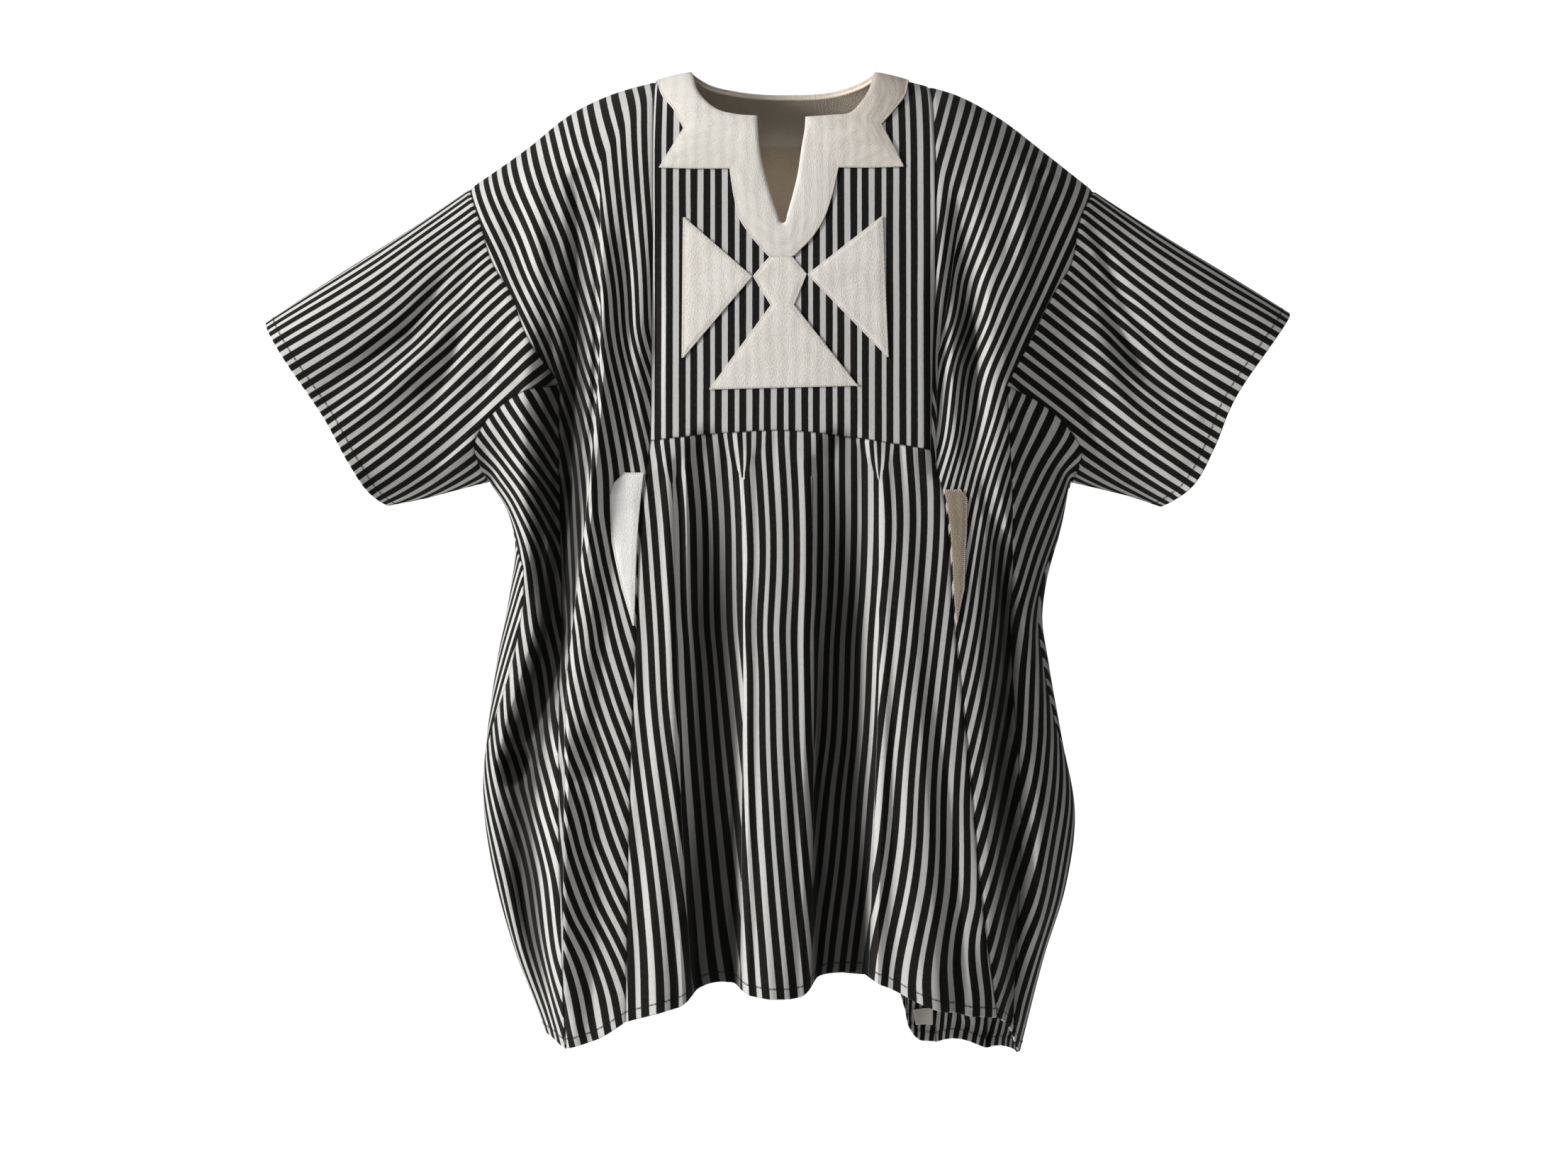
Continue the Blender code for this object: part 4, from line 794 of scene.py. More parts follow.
@dataclass
class Cloth:
    """One cut piece: a grid of points, how its stripes lie, and how its edges are sewn."""

    node: str
    points: Grid
    lay: Grid
    edges: Edges
    hollow: Grid | None = None
    wall: float = 1.2
    hem_wall: float = 0.8
    hem_depth: float = 9.0
    hem_blend: float = 2.0
    seam_dip: float = 1.1
    seam_reach: float = 3.2
    rim_bulge: float = 0.35
    sharp_from: float = 48.0
    far: float = 999.0

    def raw_normals(self) -> Grid:
        """Unit directions square to the grid, on the side its rows and columns give."""
        return unit(np.cross(np.gradient(self.points, axis=0), np.gradient(self.points, axis=1)))

    def side(self) -> float:
        """1 where the grid's own normals point out of the smock, or -1."""
        outward = self.raw_normals()[:, :, 1] * np.sign(self.points[:, :, 1])
        return 1.0 if outward.sum() >= 0 else -1.0

    def normals(self) -> Grid:
        """Unit directions that point out of the smock."""
        return self.raw_normals() * self.side()

    def lift(self, rise: Any) -> None:
        """Moves the cloth outwards, by one height or by one for each point."""
        self.points = self.points + self.normals() * np.asarray(rise)[..., None]

    def from_edges(self, kind: Edge) -> Grid:
        """Distance over the cloth from the nearest edge of a kind, in millimetres."""
        down, right = walk(self.points, 0), walk(self.points, 1)
        reach = {"top": down, "bottom": down[-1:] - down, "left": right,
                 "right": right[:, -1:] - right}
        found = [reach[name] for name, edge in self.edges.items() if edge is kind]
        return np.min(found, axis=0) if found else np.full(self.points.shape[:2], self.far)

    def line_inside(self, edge: str, reach: float, lift: float) -> tuple[Grid, Grid]:
        """A line over the cloth at a set distance from one edge.

        Args:
            edge: The edge's name.
            reach: Distance from the edge.
            lift: How far the line stands off the cloth.

        Returns:
            The line's points, and the outward direction at each.
        """
        axis = 0 if edge in ("top", "bottom") else 1
        points, square, walked = (np.moveaxis(grid, axis, 0) for grid in (
            self.points, self.normals(), walk(self.points, axis)))
        if edge in ("bottom", "right"):
            points, square, walked = points[::-1], square[::-1], walked[-1:] - walked[::-1]
        line, out = np.empty_like(points[0]), np.empty_like(points[0])
        for place in range(len(line)):
            for part in range(3):
                line[place, part] = np.interp(reach, walked[:, place], points[:, place, part])
                out[place, part] = np.interp(reach, walked[:, place], square[:, place, part])
        return line + out * lift, out

    def sew_edges(self) -> None:
        """Draws sewn edges in by half a gap and rounds them down towards the seam."""
        places = {"top": (0, 1), "bottom": (-1, -2), "left": (0, 1), "right": (-1, -2)}
        moves = np.zeros_like(self.points)
        for name, kind in self.edges.items():
            if kind is not Edge.SEAM:
                continue
            edge, inside = places[name]
            axis = 0 if name in ("top", "bottom") else 1
            grid, view = self.points.swapaxes(0, axis), moves.swapaxes(0, axis)
            view[edge] += unit(grid[inside] - grid[edge]) * SEAM_GAP / 2
        dip = self.seam_dip * (1 - smooth_step(self.from_edges(Edge.SEAM) / self.seam_reach))
        self.points = self.points + moves - self.normals() * dip[:, :, None]

    def make(self, material: bpy.types.Material) -> bpy.types.Object:
        """Builds the closed mesh with a rounded rim.

        Args:
            material: The cloth's finish.

        Returns:
            The piece, with its lay as a UV map and its distances from seams and hems.
        """
        raw, side = self.raw_normals(), self.side()
        sewn, hem = self.from_edges(Edge.SEAM), self.from_edges(Edge.HEM)
        thin = smooth_step((hem - self.hem_depth) / self.hem_blend)
        wall = self.wall * (1 + self.hem_wall * (1 - thin))
        inner = self.points - raw * side * wall[:, :, None]
        rows, columns = self.points.shape[:2]
        count = rows * columns
        index = np.arange(count).reshape(rows, columns)
        quads = np.stack([index[:-1, :-1], index[1:, :-1], index[1:, 1:], index[:-1, 1:]],
                         axis=-1).reshape(-1, 4)
        ring = np.concatenate([index[:, 0], index[-1, 1:], index[-2::-1, -1], index[0, -2:0:-1]])
        outer_ring, inner_ring = (grid.reshape(-1, 3)[ring] for grid in (self.points, inner))
        run = np.roll(outer_ring, -1, axis=0) - np.roll(outer_ring, 1, axis=0)
        out = unit(np.cross(run, raw.reshape(-1, 3)[ring]))
        bulge = out * wall.ravel()[ring][:, None] * self.rim_bulge
        middle = (outer_ring + inner_ring) / 2 + bulge
        mids = np.arange(len(ring)) + 2 * count
        after = np.roll(np.arange(len(ring)), -1)
        strip = [np.stack([ring[after], ring, mids, mids[after]], axis=1),
                 np.stack([mids[after], mids, ring + count, ring[after] + count], axis=1)]
        faces = np.concatenate([quads, quads[:, ::-1] + count] + strip)
        if side < 0:
            faces = faces[:, ::-1]
        spots = np.concatenate([self.points.reshape(-1, 3), inner.reshape(-1, 3), middle])
        source = np.concatenate([np.arange(count), np.arange(count), ring])
        name = PIECE_NAMES.get(self.node, self.node + "_cloth")
        mesh = bpy.data.meshes.new(name)
        mesh.vertices.add(len(spots))
        mesh.vertices.foreach_set("co", (spots * METRES).astype(np.float32).ravel())
        mesh.loops.add(faces.size)
        mesh.loops.foreach_set("vertex_index", faces.ravel().astype(np.int32))
        mesh.polygons.add(len(faces))
        mesh.polygons.foreach_set("loop_start", np.arange(0, faces.size, 4, dtype=np.int32))
        mesh.update(calc_edges=True)
        lay = self.lay.reshape(-1, 2)[source] * METRES
        uv = mesh.uv_layers.new(name="lay")
        uv.data.foreach_set("uv", lay[faces.ravel()].astype(np.float32).ravel())
        deep = np.zeros_like(sewn) if self.hollow is None else self.hollow / METRES
        for label, values in (("sewn", sewn), ("hem", hem), ("hollow", deep)):
            layer = mesh.attributes.new(label, "FLOAT", "POINT")
            layer.data.foreach_set("value", (values.ravel()[source] * METRES).astype(np.float32))
        mesh.validate()
        mesh.materials.append(material)
        mesh.shade_smooth()
        mesh.set_sharp_from_angle(angle=math.radians(self.sharp_from))
        return link(name, mesh)


class Signal:
    """A number in a material, with Python's arithmetic."""

    def __init__(self, bench: "Bench", socket: Any) -> None:
        """Wraps a node's output socket."""
        self.bench = bench
        self.socket = socket

    def __add__(self, other: Any) -> "Signal":
        """Sum."""
        return self.bench.maths("ADD", self, other)

    def __sub__(self, other: Any) -> "Signal":
        """Difference."""
        return self.bench.maths("SUBTRACT", self, other)

    def __rsub__(self, other: Any) -> "Signal":
        """Difference from a plain number."""
        return self.bench.maths("SUBTRACT", other, self)

    def __mul__(self, other: Any) -> "Signal":
        """Product."""
        return self.bench.maths("MULTIPLY", self, other)

    def __truediv__(self, other: Any) -> "Signal":
        """Quotient."""
        return self.bench.maths("DIVIDE", self, other)

    __radd__ = __add__
    __rmul__ = __mul__


class Bench:
    """The nodes of one tree."""

    def __init__(self, tree: bpy.types.NodeTree) -> None:
        """Starts on a tree.

        Args:
            tree: The tree its nodes are added to.
        """
        self.tree = tree

    def put(self, socket: Any, value: Any) -> None:
        """Links a value to a socket, or sets it there."""
        if isinstance(value, Signal):
            value = value.socket
        if isinstance(value, bpy.types.NodeSocket):
            self.tree.links.new(value, socket)
        else:
            socket.default_value = value

    def node(self, kind: str, settings: dict[str, Any] | None = None,
             sockets: dict[Any, Any] | None = None) -> bpy.types.Node:
        """Adds a node.

        Args:
            kind: The node's type.
            settings: Its own choices, set first.
            sockets: Values or links of its inputs, by name or number.

        Returns:
            The node.
        """
        made = self.tree.nodes.new(kind)
        for name, value in (settings or {}).items():
            setattr(made, name, value)
        for name, value in (sockets or {}).items():
            self.put(made.inputs[name], value)
        return made

    def maths(self, operation: str, *values: Any) -> Signal:
        """A Math node's result."""
        made = self.node("ShaderNodeMath", {"operation": operation}, dict(enumerate(values)))
        return Signal(self, made.outputs[0])

    def vectors(self, operation: str, *values: Any, **named: Any) -> bpy.types.NodeSocket:
        """A Vector Math node's result, from values by place and by name."""
        return self.node("ShaderNodeVectorMath", {"operation": operation},
                         {**dict(enumerate(values)), **named}).outputs[0]


class Finish(Bench):
    """The nodes of one material."""

    def __init__(self, name: str) -> None:
        """Starts a material with one surface shader.

        Args:
            name: The material's name.
        """
        self.material = bpy.data.materials.new(name)
        self.material.use_nodes = True
        super().__init__(self.material.node_tree)
        self.shader = self.tree.nodes["Principled BSDF"]

    def step(self, value: Any, low: float, high: float) -> Signal:
        """A soft rise from 0 at low to 1 at high."""
        made = self.node("ShaderNodeMapRange", {"interpolation_type": "SMOOTHSTEP"},
                         {"Value": value, "From Min": low, "From Max": high})
        return Signal(self, made.outputs[0])

    def colour(self, factor: Any, first: Any, second: Any) -> bpy.types.NodeSocket:
        """A mix of two colours."""
        made = self.node("ShaderNodeMix", {"data_type": "RGBA"},
                         {"Factor": factor, 6: first, 7: second})
        return made.outputs[2]

    def noise(self, vector: Any, scale: float, detail: float = 2.0) -> Signal:
        """Soft random values round a half."""
        made = self.node("ShaderNodeTexNoise", {}, {"Vector": vector, "Scale": scale,
                                                     "Detail": detail})
        return Signal(self, made.outputs[0])

    def grain(self, lay: tuple[Signal, Signal], pitch: tuple[float, float],
              detail: float = 2.0) -> Signal:
        """Noise over the cloth, with its own pitch across and along the stripes."""
        return self.noise(self.vector(lay[0] * pitch[0], lay[1] * pitch[1]), 1.0, detail)

    def wave(self, value: Any, length: float) -> Signal:
        """A sine wave of one length along a value."""
        return self.maths("SINE", value * (2 * math.pi / length))

    def attribute(self, name: str) -> Signal:
        """A number stored on the mesh."""
        made = self.node("ShaderNodeAttribute", {"attribute_name": name})
        return Signal(self, made.outputs["Fac"])

    def lay(self) -> tuple[Signal, Signal]:
        """Across and along the cloth, in metres."""
        uv = self.node("ShaderNodeUVMap", {"uv_map": "lay"})
        parts = self.node("ShaderNodeSeparateXYZ", {}, {0: uv.outputs[0]})
        return Signal(self, parts.outputs[0]), Signal(self, parts.outputs[1])

    def vector(self, x: Any, y: Any, z: Any = 0.0) -> bpy.types.NodeSocket:
        """A vector of three values."""
        return self.node("ShaderNodeCombineXYZ", {}, {0: x, 1: y, 2: z}).outputs[0]

    def dress(self, colour: Any, roughness: Any, height: Any, depth: float,
              sheen: float) -> bpy.types.Material:
        """Joins colour, roughness and relief to the shader.

        Args:
            colour: Base colour.
            roughness: Roughness.
            height: Relief from 0 to 1.
            depth: How many metres the relief stands.
            sheen: Sheen weight.

        Returns:
            The finished material.
        """
        bump = self.node("ShaderNodeBump", {}, {"Strength": 1.0, "Distance": depth,
                                                "Height": height})
        for name, value in (("Base Color", colour), ("Roughness", roughness),
                            ("Normal", bump.outputs[0]), ("Sheen Weight", sheen),
                            ("Sheen Roughness", SHEEN_ROUGHNESS),
                            ("Specular IOR Level", SPECULAR)):
            self.put(self.shader.inputs[name], value)
        return self.material


@dataclass(frozen=True)
class StripedCloth:
    """Hand-woven strip cloth: two dark bars to a repeat on off-white."""

    repeat: float = REPEAT * METRES
    bars: tuple[tuple[float, float], ...] = ((0.0028, 0.0095), (0.0137, 0.0204))
    softness: float = 0.0003
    wander: float = 0.0009
    dark: Colour = (0.0085, 0.0080, 0.0075, 1.0)
    dark_fleck: Colour = (0.040, 0.037, 0.034, 1.0)
    light: Colour = (0.62, 0.61, 0.59, 1.0)
    light_fleck: Colour = (0.36, 0.35, 0.335, 1.0)
    rust: Colour = (0.030, 0.014, 0.010, 1.0)
    # Painted shade: what light and dark stripes turn to deep in folds, at seams and at the turned
    # hem
    painted_shade_light: Colour = (0.050, 0.047, 0.043, 1.0)
    painted_shade_dark: Colour = (0.003, 0.0028, 0.0026, 1.0)
    slow_pitch: tuple[float, float] = (60, 14)
    fine_pitch: tuple[float, float] = (900, 160)
    fleck_pitch: tuple[float, float] = (1500, 260)
    wear_pitch: tuple[float, float] = (170, 5)
    fleck_step: tuple[float, float] = (0.52, 0.75)
    rust_step: tuple[float, float] = (0.62, 0.8)
    seam_step: tuple[float, float] = (0.0002, 0.0016)
    hem_start: tuple[float, float] = (0.0078, 0.0084)
    hem_end: tuple[float, float] = (0.0096, 0.0104)
    dark_flecks: float = 0.55
    light_flecks: float = 0.45
    rust_share: float = 0.45
    fold_shade: float = 0.9
    seam_shade: float = 0.6
    hem_shade: float = 0.5
    thread: float = 0.0011
    relief: float = 0.0004
    relief_mix: tuple[float, float, float] = (0.25, 0.6, 0.4)
    roughness: float = 0.9
    fleck_shine: float = 0.06
    sheen: float = 0.05
    first_repeat: float = 40.0

    def make(self) -> bpy.types.Material:
        """The material."""
        bench = Finish("striped_cloth_woven")
        lay = bench.lay()
        slow = bench.grain(lay, self.slow_pitch)
        fine = bench.grain(lay, self.fine_pitch, 3.0)
        place = lay[0] + (slow - 0.5) * self.wander + (fine - 0.5) * (self.wander * 0.5)
        t = bench.maths("FRACT", place / self.repeat + self.first_repeat) * self.repeat
        dark = 0.0
        for start, end in self.bars:
            rise = bench.step(t, start - self.softness, start + self.softness)
            fall = bench.step(t, end - self.softness, end + self.softness)
            dark = rise * (1 - fall) + dark
        flecks = bench.step(bench.grain(lay, self.fleck_pitch), *self.fleck_step)
        wear_and_shade = bench.step(bench.grain(lay, self.wear_pitch, 1.0), *self.rust_step)
        cloth_dark = bench.colour(flecks * self.dark_flecks, self.dark, self.dark_fleck)
        cloth_dark = bench.colour(wear_and_shade * self.rust_share, cloth_dark, self.rust)
        cloth_light = bench.colour(flecks * self.light_flecks, self.light, self.light_fleck)
        colour = bench.colour(dark, cloth_light, cloth_dark)
        # Painted shade in the folds: the deeper a point lies in a fold, the nearer its colour comes
        # to near-black
        deep = bench.colour(dark, self.painted_shade_light, self.painted_shade_dark)
        colour = bench.colour(bench.attribute("hollow") * self.fold_shade, colour, deep)
        seam = 1 - bench.step(bench.attribute("sewn"), *self.seam_step)
        colour = bench.colour(seam * self.seam_shade, colour, self.painted_shade_dark)
        hem = bench.attribute("hem")
        turned = bench.step(hem, *self.hem_start) * (1 - bench.step(hem, *self.hem_end))
        colour = bench.colour(turned * self.hem_shade, colour, self.painted_shade_dark)
        weave = bench.wave(lay[1], self.thread) * bench.wave(lay[0], self.thread)
        height = (weave * self.relief_mix[0] + fine * self.relief_mix[1]
                  + slow * self.relief_mix[2])
        return bench.dress(colour, self.roughness - flecks * self.fleck_shine, height,
                           self.relief, self.sheen)


@dataclass(frozen=True)
class CreamCotton:
    """Brushed cream cotton, sewn down with close stitches."""

    name: str = "cream_cotton_brushed"
    base: Colour = (0.85, 0.815, 0.755, 1.0)
    shade: Colour = (0.54, 0.49, 0.43, 1.0)
    nap: float = 0.0009
    under: float = STRIPE * METRES
    ghost: float = 0.10
    # Painted shade: a brownish darkening in clouds over the right side of the neck band
    tan: Colour = (0.40, 0.29, 0.19, 1.0)
    right_shade: float = 0.0
    right_shade_x: tuple[float, float] = (0.015, 0.085)
    right_shade_z: tuple[float, float] = (-0.15, -0.03)
    cloud_pitch: tuple[float, float] = (40, 40)
    nap_pitch: tuple[float, float] = (700, 500)
    bend_pitch: tuple[float, float] = (25, 25)
    bend_reach: float = 5.0
    tone_mix: tuple[float, float] = (0.4, 0.6)
    tone_step: tuple[float, float] = (0.35, 0.72)
    tone_shade: float = 0.5
    edge_step: tuple[float, float] = (0.0, 0.0024)
    edge_shade: float = 0.35
    relief_mix: tuple[float, float, float] = (0.6, 1.6, 0.6)
    roughness: float = 0.9
    nap_shine: float = 0.08
    sheen: float = 0.12

    def make(self) -> bpy.types.Material:
        """The material."""
        bench = Finish(self.name)
        lay = bench.lay()
        spot = bench.node("ShaderNodeSeparateXYZ", {},
                          {0: bench.node("ShaderNodeTexCoord").outputs["Object"]})
        x, z = Signal(bench, spot.outputs[0]), Signal(bench, spot.outputs[2])
        cloud = bench.grain(lay, self.cloud_pitch, 3.0)
        nap = bench.grain(lay, self.nap_pitch, 4.0)
        bend = bench.grain(lay, self.bend_pitch, 1.0) * self.bend_reach
        under = bench.maths("SINE", x * (2 * math.pi / self.under) + bend) * 0.5 + 0.5
        mixed = cloud * self.tone_mix[0] + nap * self.tone_mix[1]
        tone = bench.step(mixed, *self.tone_step) * self.tone_shade + under * self.ghost
        colour = bench.colour(tone, self.base, self.shade)
        edge = 1 - bench.step(bench.attribute("sewn"), *self.edge_step)
        colour = bench.colour(edge * self.edge_shade, colour, self.shade)
        # Painted shade over the right side of the neck band, where the light falls less
        wear_and_shade = bench.step(x, *self.right_shade_x) * bench.step(z, *self.right_shade_z) * cloud * self.right_shade
        colour = bench.colour(wear_and_shade, colour, self.tan)
        height = (nap * self.relief_mix[0] + under * (self.ghost * self.relief_mix[1])
                  + cloud * self.relief_mix[2])
        return bench.dress(colour, self.roughness - nap * self.nap_shine, height, self.nap,
                           self.sheen)


@dataclass(frozen=True)
class SewingThread:
    """Twisted sewing thread in one colour."""

    name: str
    base: Colour
    twist: float = 900.0
    gain: float = 1.5
    glint: float = 0.01
    roughness: float = 0.7
    relief: float = 0.0001
    sheen: float = 0.1

    def make(self) -> bpy.types.Material:
        """The material."""
        bench = Finish(self.name)
        twist = bench.noise(bench.node("ShaderNodeTexCoord").outputs["Object"], self.twist, 1.0)
        lit = *(min(1.0, part * self.gain + self.glint) for part in self.base[:3]), 1.0
        return bench.dress(bench.colour(twist, self.base, lit), self.roughness, twist,
                           self.relief, self.sheen)


@dataclass(frozen=True)
class PaleFloor:
    """A pale studio floor."""

    height: float = -1.7
    size: float = 3.2
    glow: float = 0.2
    colour: Colour = (0.95, 0.95, 0.95, 1.0)
    roughness: float = 0.9

    def make(self) -> None:
        """The floor, which is no part of the smock."""
        bench = Finish("pale_floor")
        for name, value in (("Base Color", self.colour), ("Roughness", self.roughness),
                            ("Emission Color", WHITE),
                            ("Emission Strength", self.glow)):
            bench.put(bench.shader.inputs[name], value)
        half = self.size / 2
        corners = [(x * half, y * half, self.height)
                   for x, y in ((-1, -1), (1, -1), (1, 1), (-1, 1))]
        mesh = bpy.data.meshes.new("floor")
        mesh.from_pydata(corners, [], [(0, 1, 2, 3)])
        mesh.materials.append(bench.material)
        link("floor", mesh)


@dataclass(frozen=True)
class Stitching:
    """Stitches of one kind, sewn along lines by a Geometry Nodes tree."""

    name: str
    slot: str
    pitch: float
    length: float
    width: float
    turn: float
    seed: int = 11
    sides: int = 6
    rings: int = 4
    shortest: float = 0.75
    longest: float = 1.1
    thickness: float = 0.8

    def grow(self) -> bpy.types.NodeTree:
        """The tree that lays a stitch at each step along the lines."""
        tree = bpy.data.node_groups.new(self.name + "_tree", "GeometryNodeTree")
        for label, kind in (("Lines", "Geometry"), ("Pitch", "Float"), ("Length", "Float"),
                            ("Width", "Float"), ("Turn", "Float"), ("Seed", "Int"),
                            ("Thread", "Material")):
            tree.interface.new_socket(label, in_out="INPUT", socket_type="NodeSocket" + kind)
        tree.interface.new_socket("Stitches", in_out="OUTPUT", socket_type="NodeSocketGeometry")
        bench = Bench(tree)
        given = bench.node("NodeGroupInput").outputs

        def first(kind: str, settings: dict[str, Any], sockets: dict[Any, Any]) -> Any:
            """A node's first output."""
            return bench.node(kind, settings, sockets).outputs[0]

        length, width, turn = (Signal(bench, given[name]) for name in ("Length", "Width", "Turn"))
        curve = first("GeometryNodeMeshToCurve", {}, {"Mesh": given["Lines"]})
        dots = first("GeometryNodeResampleCurve", {"mode": "LENGTH"},
                     {"Curve": curve, "Length": given["Pitch"]})
        square = first("GeometryNodeInputNamedAttribute", {"data_type": "FLOAT_VECTOR"},
                       {"Name": "square"})
        along = first("GeometryNodeInputTangent", {}, {})
        swing = bench.maths("MODULO", first("GeometryNodeInputIndex", {}, {}), 2.0) * 2.0 - 1.0
        ahead = bench.vectors("SCALE", along, Scale=bench.maths("COSINE", turn))
        aside = bench.vectors("SCALE", bench.vectors("CROSS_PRODUCT", square, along),
                              Scale=bench.maths("SINE", turn) * swing)
        facing = first("FunctionNodeAlignRotationToVector", {"axis": "X"},
                       {"Vector": bench.vectors("ADD", ahead, aside)})
        facing = first("FunctionNodeAlignRotationToVector", {"axis": "Z", "pivot_axis": "X"},
                       {"Rotation": facing, "Vector": square})
        uneven = bench.node("FunctionNodeRandomValue", {"data_type": "FLOAT"},
                            {2: self.shortest, 3: self.longest,
                             "Seed": given["Seed"]}).outputs[1]
        size = first("ShaderNodeCombineXYZ", {}, {
            0: length * Signal(bench, uneven) * 0.5, 1: width * 0.5,
            2: width * (self.thickness / 2)})
        stitch = first("GeometryNodeMeshUVSphere", {}, {
            "Segments": self.sides, "Rings": self.rings, "Radius": 1.0})
        laid = first("GeometryNodeInstanceOnPoints", {}, {
            "Points": dots, "Instance": stitch, "Rotation": facing, "Scale": size})
        solid = first("GeometryNodeRealizeInstances", {}, {0: laid})
        dressed = first("GeometryNodeSetMaterial", {}, {
            "Geometry": solid, "Material": given["Thread"]})
        bench.node("NodeGroupOutput", {}, {"Stitches": dressed})
        return tree

    def sew(self, lines: Sequence[tuple[Grid, Grid]], thread: bpy.types.Material) -> None:
        """Args:
            lines: Each line's points, and the outward direction at each.
            thread: The thread's finish.
        """
        spots = np.concatenate([line for line, _ in lines]) * METRES
        square = np.concatenate([out for _, out in lines])
        starts = np.cumsum([0] + [len(line) for line, _ in lines])
        edges = [(i, i + 1) for start, end in zip(starts[:-1], starts[1:])
                 for i in range(start, end - 1)]
        mesh = bpy.data.meshes.new(self.name + "_lines")
        mesh.from_pydata(spots.tolist(), edges, [])
        layer = mesh.attributes.new("square", "FLOAT_VECTOR", "POINT")
        layer.data.foreach_set("vector", square.astype(np.float32).ravel())
        source = link(self.name + "_lines", mesh)
        modifier = source.modifiers.new("sewing", "NODES")
        modifier.node_group = self.grow()
        chosen = {"Pitch": self.pitch * METRES, "Length": self.length * METRES,
                  "Width": self.width * METRES, "Turn": self.turn, "Seed": self.seed,
                  "Thread": thread}
        for item in modifier.node_group.interface.items_tree:
            if item.name in chosen:
                modifier[item.identifier] = chosen[item.name]
        ready = source.evaluated_get(bpy.context.evaluated_depsgraph_get())
        made = bpy.data.meshes.new_from_object(ready)
        made.name = self.name
        bpy.data.objects.remove(source)
        made.shade_smooth()
        piece = link(self.name, made)
        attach(piece, "root")
        log.info("%s: %d faces", piece.name, len(made.polygons))


class Dresser:
    """Makes every finished piece, hangs it under the root, hides the part it stands for and gathers
    its stitch lines.
    """

    hem_reach = 8.8
    hem_lift = 0.2
    trim_reach = 0.7
    trim_lift = 0.1

    def __init__(self, form: WornForm) -> None:
        """Makes the finishes once.

        Args:
            form: The worn smock's shape.
        """
        self.form = form
        self.striped = StripedCloth().make()
        # The cream cut-work gets the painted shade on the neck band's right side
        self.cream = CreamCotton(right_shade=0.8).make()
        self.lining = CreamCotton("undyed_lining", (0.86, 0.68, 0.48, 1.0),
                                  (0.58, 0.44, 0.30, 1.0), ghost=0.0).make()
        self.facing = CreamCotton("undyed_facing", (0.97, 0.84, 0.68, 1.0),
                                  (0.80, 0.66, 0.50, 1.0), ghost=0.0).make()
        # The welts are one cream cloth in lit and shaded copies: the left one lighter for painted
        # light and whiter cloth, the right one darker for painted shade and browner cloth
        self.bright = CreamCotton("welt_cotton_whiter_lit", (0.90, 0.89, 0.87, 1.0),
                                  (0.62, 0.60, 0.57, 1.0), ghost=0.06).make()
        self.beige_shaded = CreamCotton("welt_cotton_beige_shaded", (0.36, 0.30, 0.22, 1.0),
                                (0.17, 0.135, 0.095, 1.0), ghost=0.1).make()
        self.hems: list[tuple[Grid, Grid]] = []
        self.trims: list[tuple[Grid, Grid]] = []

    def slot(self, material: bpy.types.Material) -> str:
        """The slot that a finish belongs to."""
        slots = {self.striped.name: "striped_cloth", self.lining.name: "lining_cloth",
                 self.facing.name: "lining_cloth"}
        return slots.get(material.name, "cream_cloth")

    def hand_over(self, cloth: Cloth, material: bpy.types.Material) -> None:
        """Args:
            cloth: The cut piece.
            material: Its finish.
        """
        # Striped pieces get painted shade in their folds, from how deep each point lies
        if material is self.striped and cloth.hollow is None:
            cloth.hollow = self.form.hollow(cloth.points)
        piece, cut = cloth.make(material), CUTS[cloth.node]
        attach(piece, "root")
        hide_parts(cloth.node)
        self.slot(material)
        for edge, kind in cloth.edges.items():
            if kind is Edge.HEM:
                self.hems.append(cloth.line_inside(edge, self.hem_reach, self.hem_lift))
            elif kind is Edge.SEAM and material in (self.cream, self.bright, self.beige_shaded):
                self.trims.append(cloth.line_inside(edge, self.trim_reach, self.trim_lift))
        log.info("%s: %d faces", piece.name, len(piece.data.polygons))

    def striped_piece(self, node: str, points: Grid, over: Grid, edges: Edges, along: int = 0,
                      hollow: Grid | None = None) -> None:
        """Sews a striped piece's edges and hands it over.

        Args:
            node: The node it stands for.
            points: The piece's grid.
            over: How far across the stripes each point lies.
            edges: How its edges are finished.
            along: The grid's axis that runs along the stripes.
            hollow: How deep in a fold each point is shaded, if not by the worn form.
        """
        lay = np.stack([over, walk(points, along)], axis=2)
        cloth = Cloth(node, points, lay, edges, hollow)
        cloth.sew_edges()
        self.hand_over(cloth, self.striped)

    def sew(self) -> None:
        """Sews the hems, the cuffs and the edges of the cut-work."""
        charcoal = SewingThread("charcoal_thread", (0.012, 0.011, 0.010, 1.0)).make()
        cream = SewingThread("cream_thread", (0.62, 0.59, 0.54, 1.0)).make()
        Stitching("hem_stitches", "striped_cloth", pitch=4.6, length=3.1, width=0.7,
                  turn=0.0).sew(self.hems, charcoal)
        Stitching("trim_stitches", "cream_cloth", pitch=1.9, length=2.6, width=0.55,
                  turn=1.15).sew(self.trims, cream)


def slanted(points: Grid, start: Grid, slants: Line) -> Grid:
    """Lay of stripes that slant towards the middle as they go down.

    Args:
        points: The piece's grid, rows from top to bottom.
        start: Distance over the cloth from the inner seam.
        slants: Height and angle from the upright, in degrees, from the top down.

    Returns:
        How far across the stripes each point lies.
    """
    z = points[:, :, 2]
    heights = np.linspace(-LONGEST, 0, SLANT_STEPS + 1)
    angles = np.radians(read_table(slants, heights))
    fall = np.cumsum(np.sin(angles)[::-1])[::-1] * (heights[1] - heights[0])
    return start * np.interp(z, heights, np.cos(angles)) + np.interp(z, heights, fall)


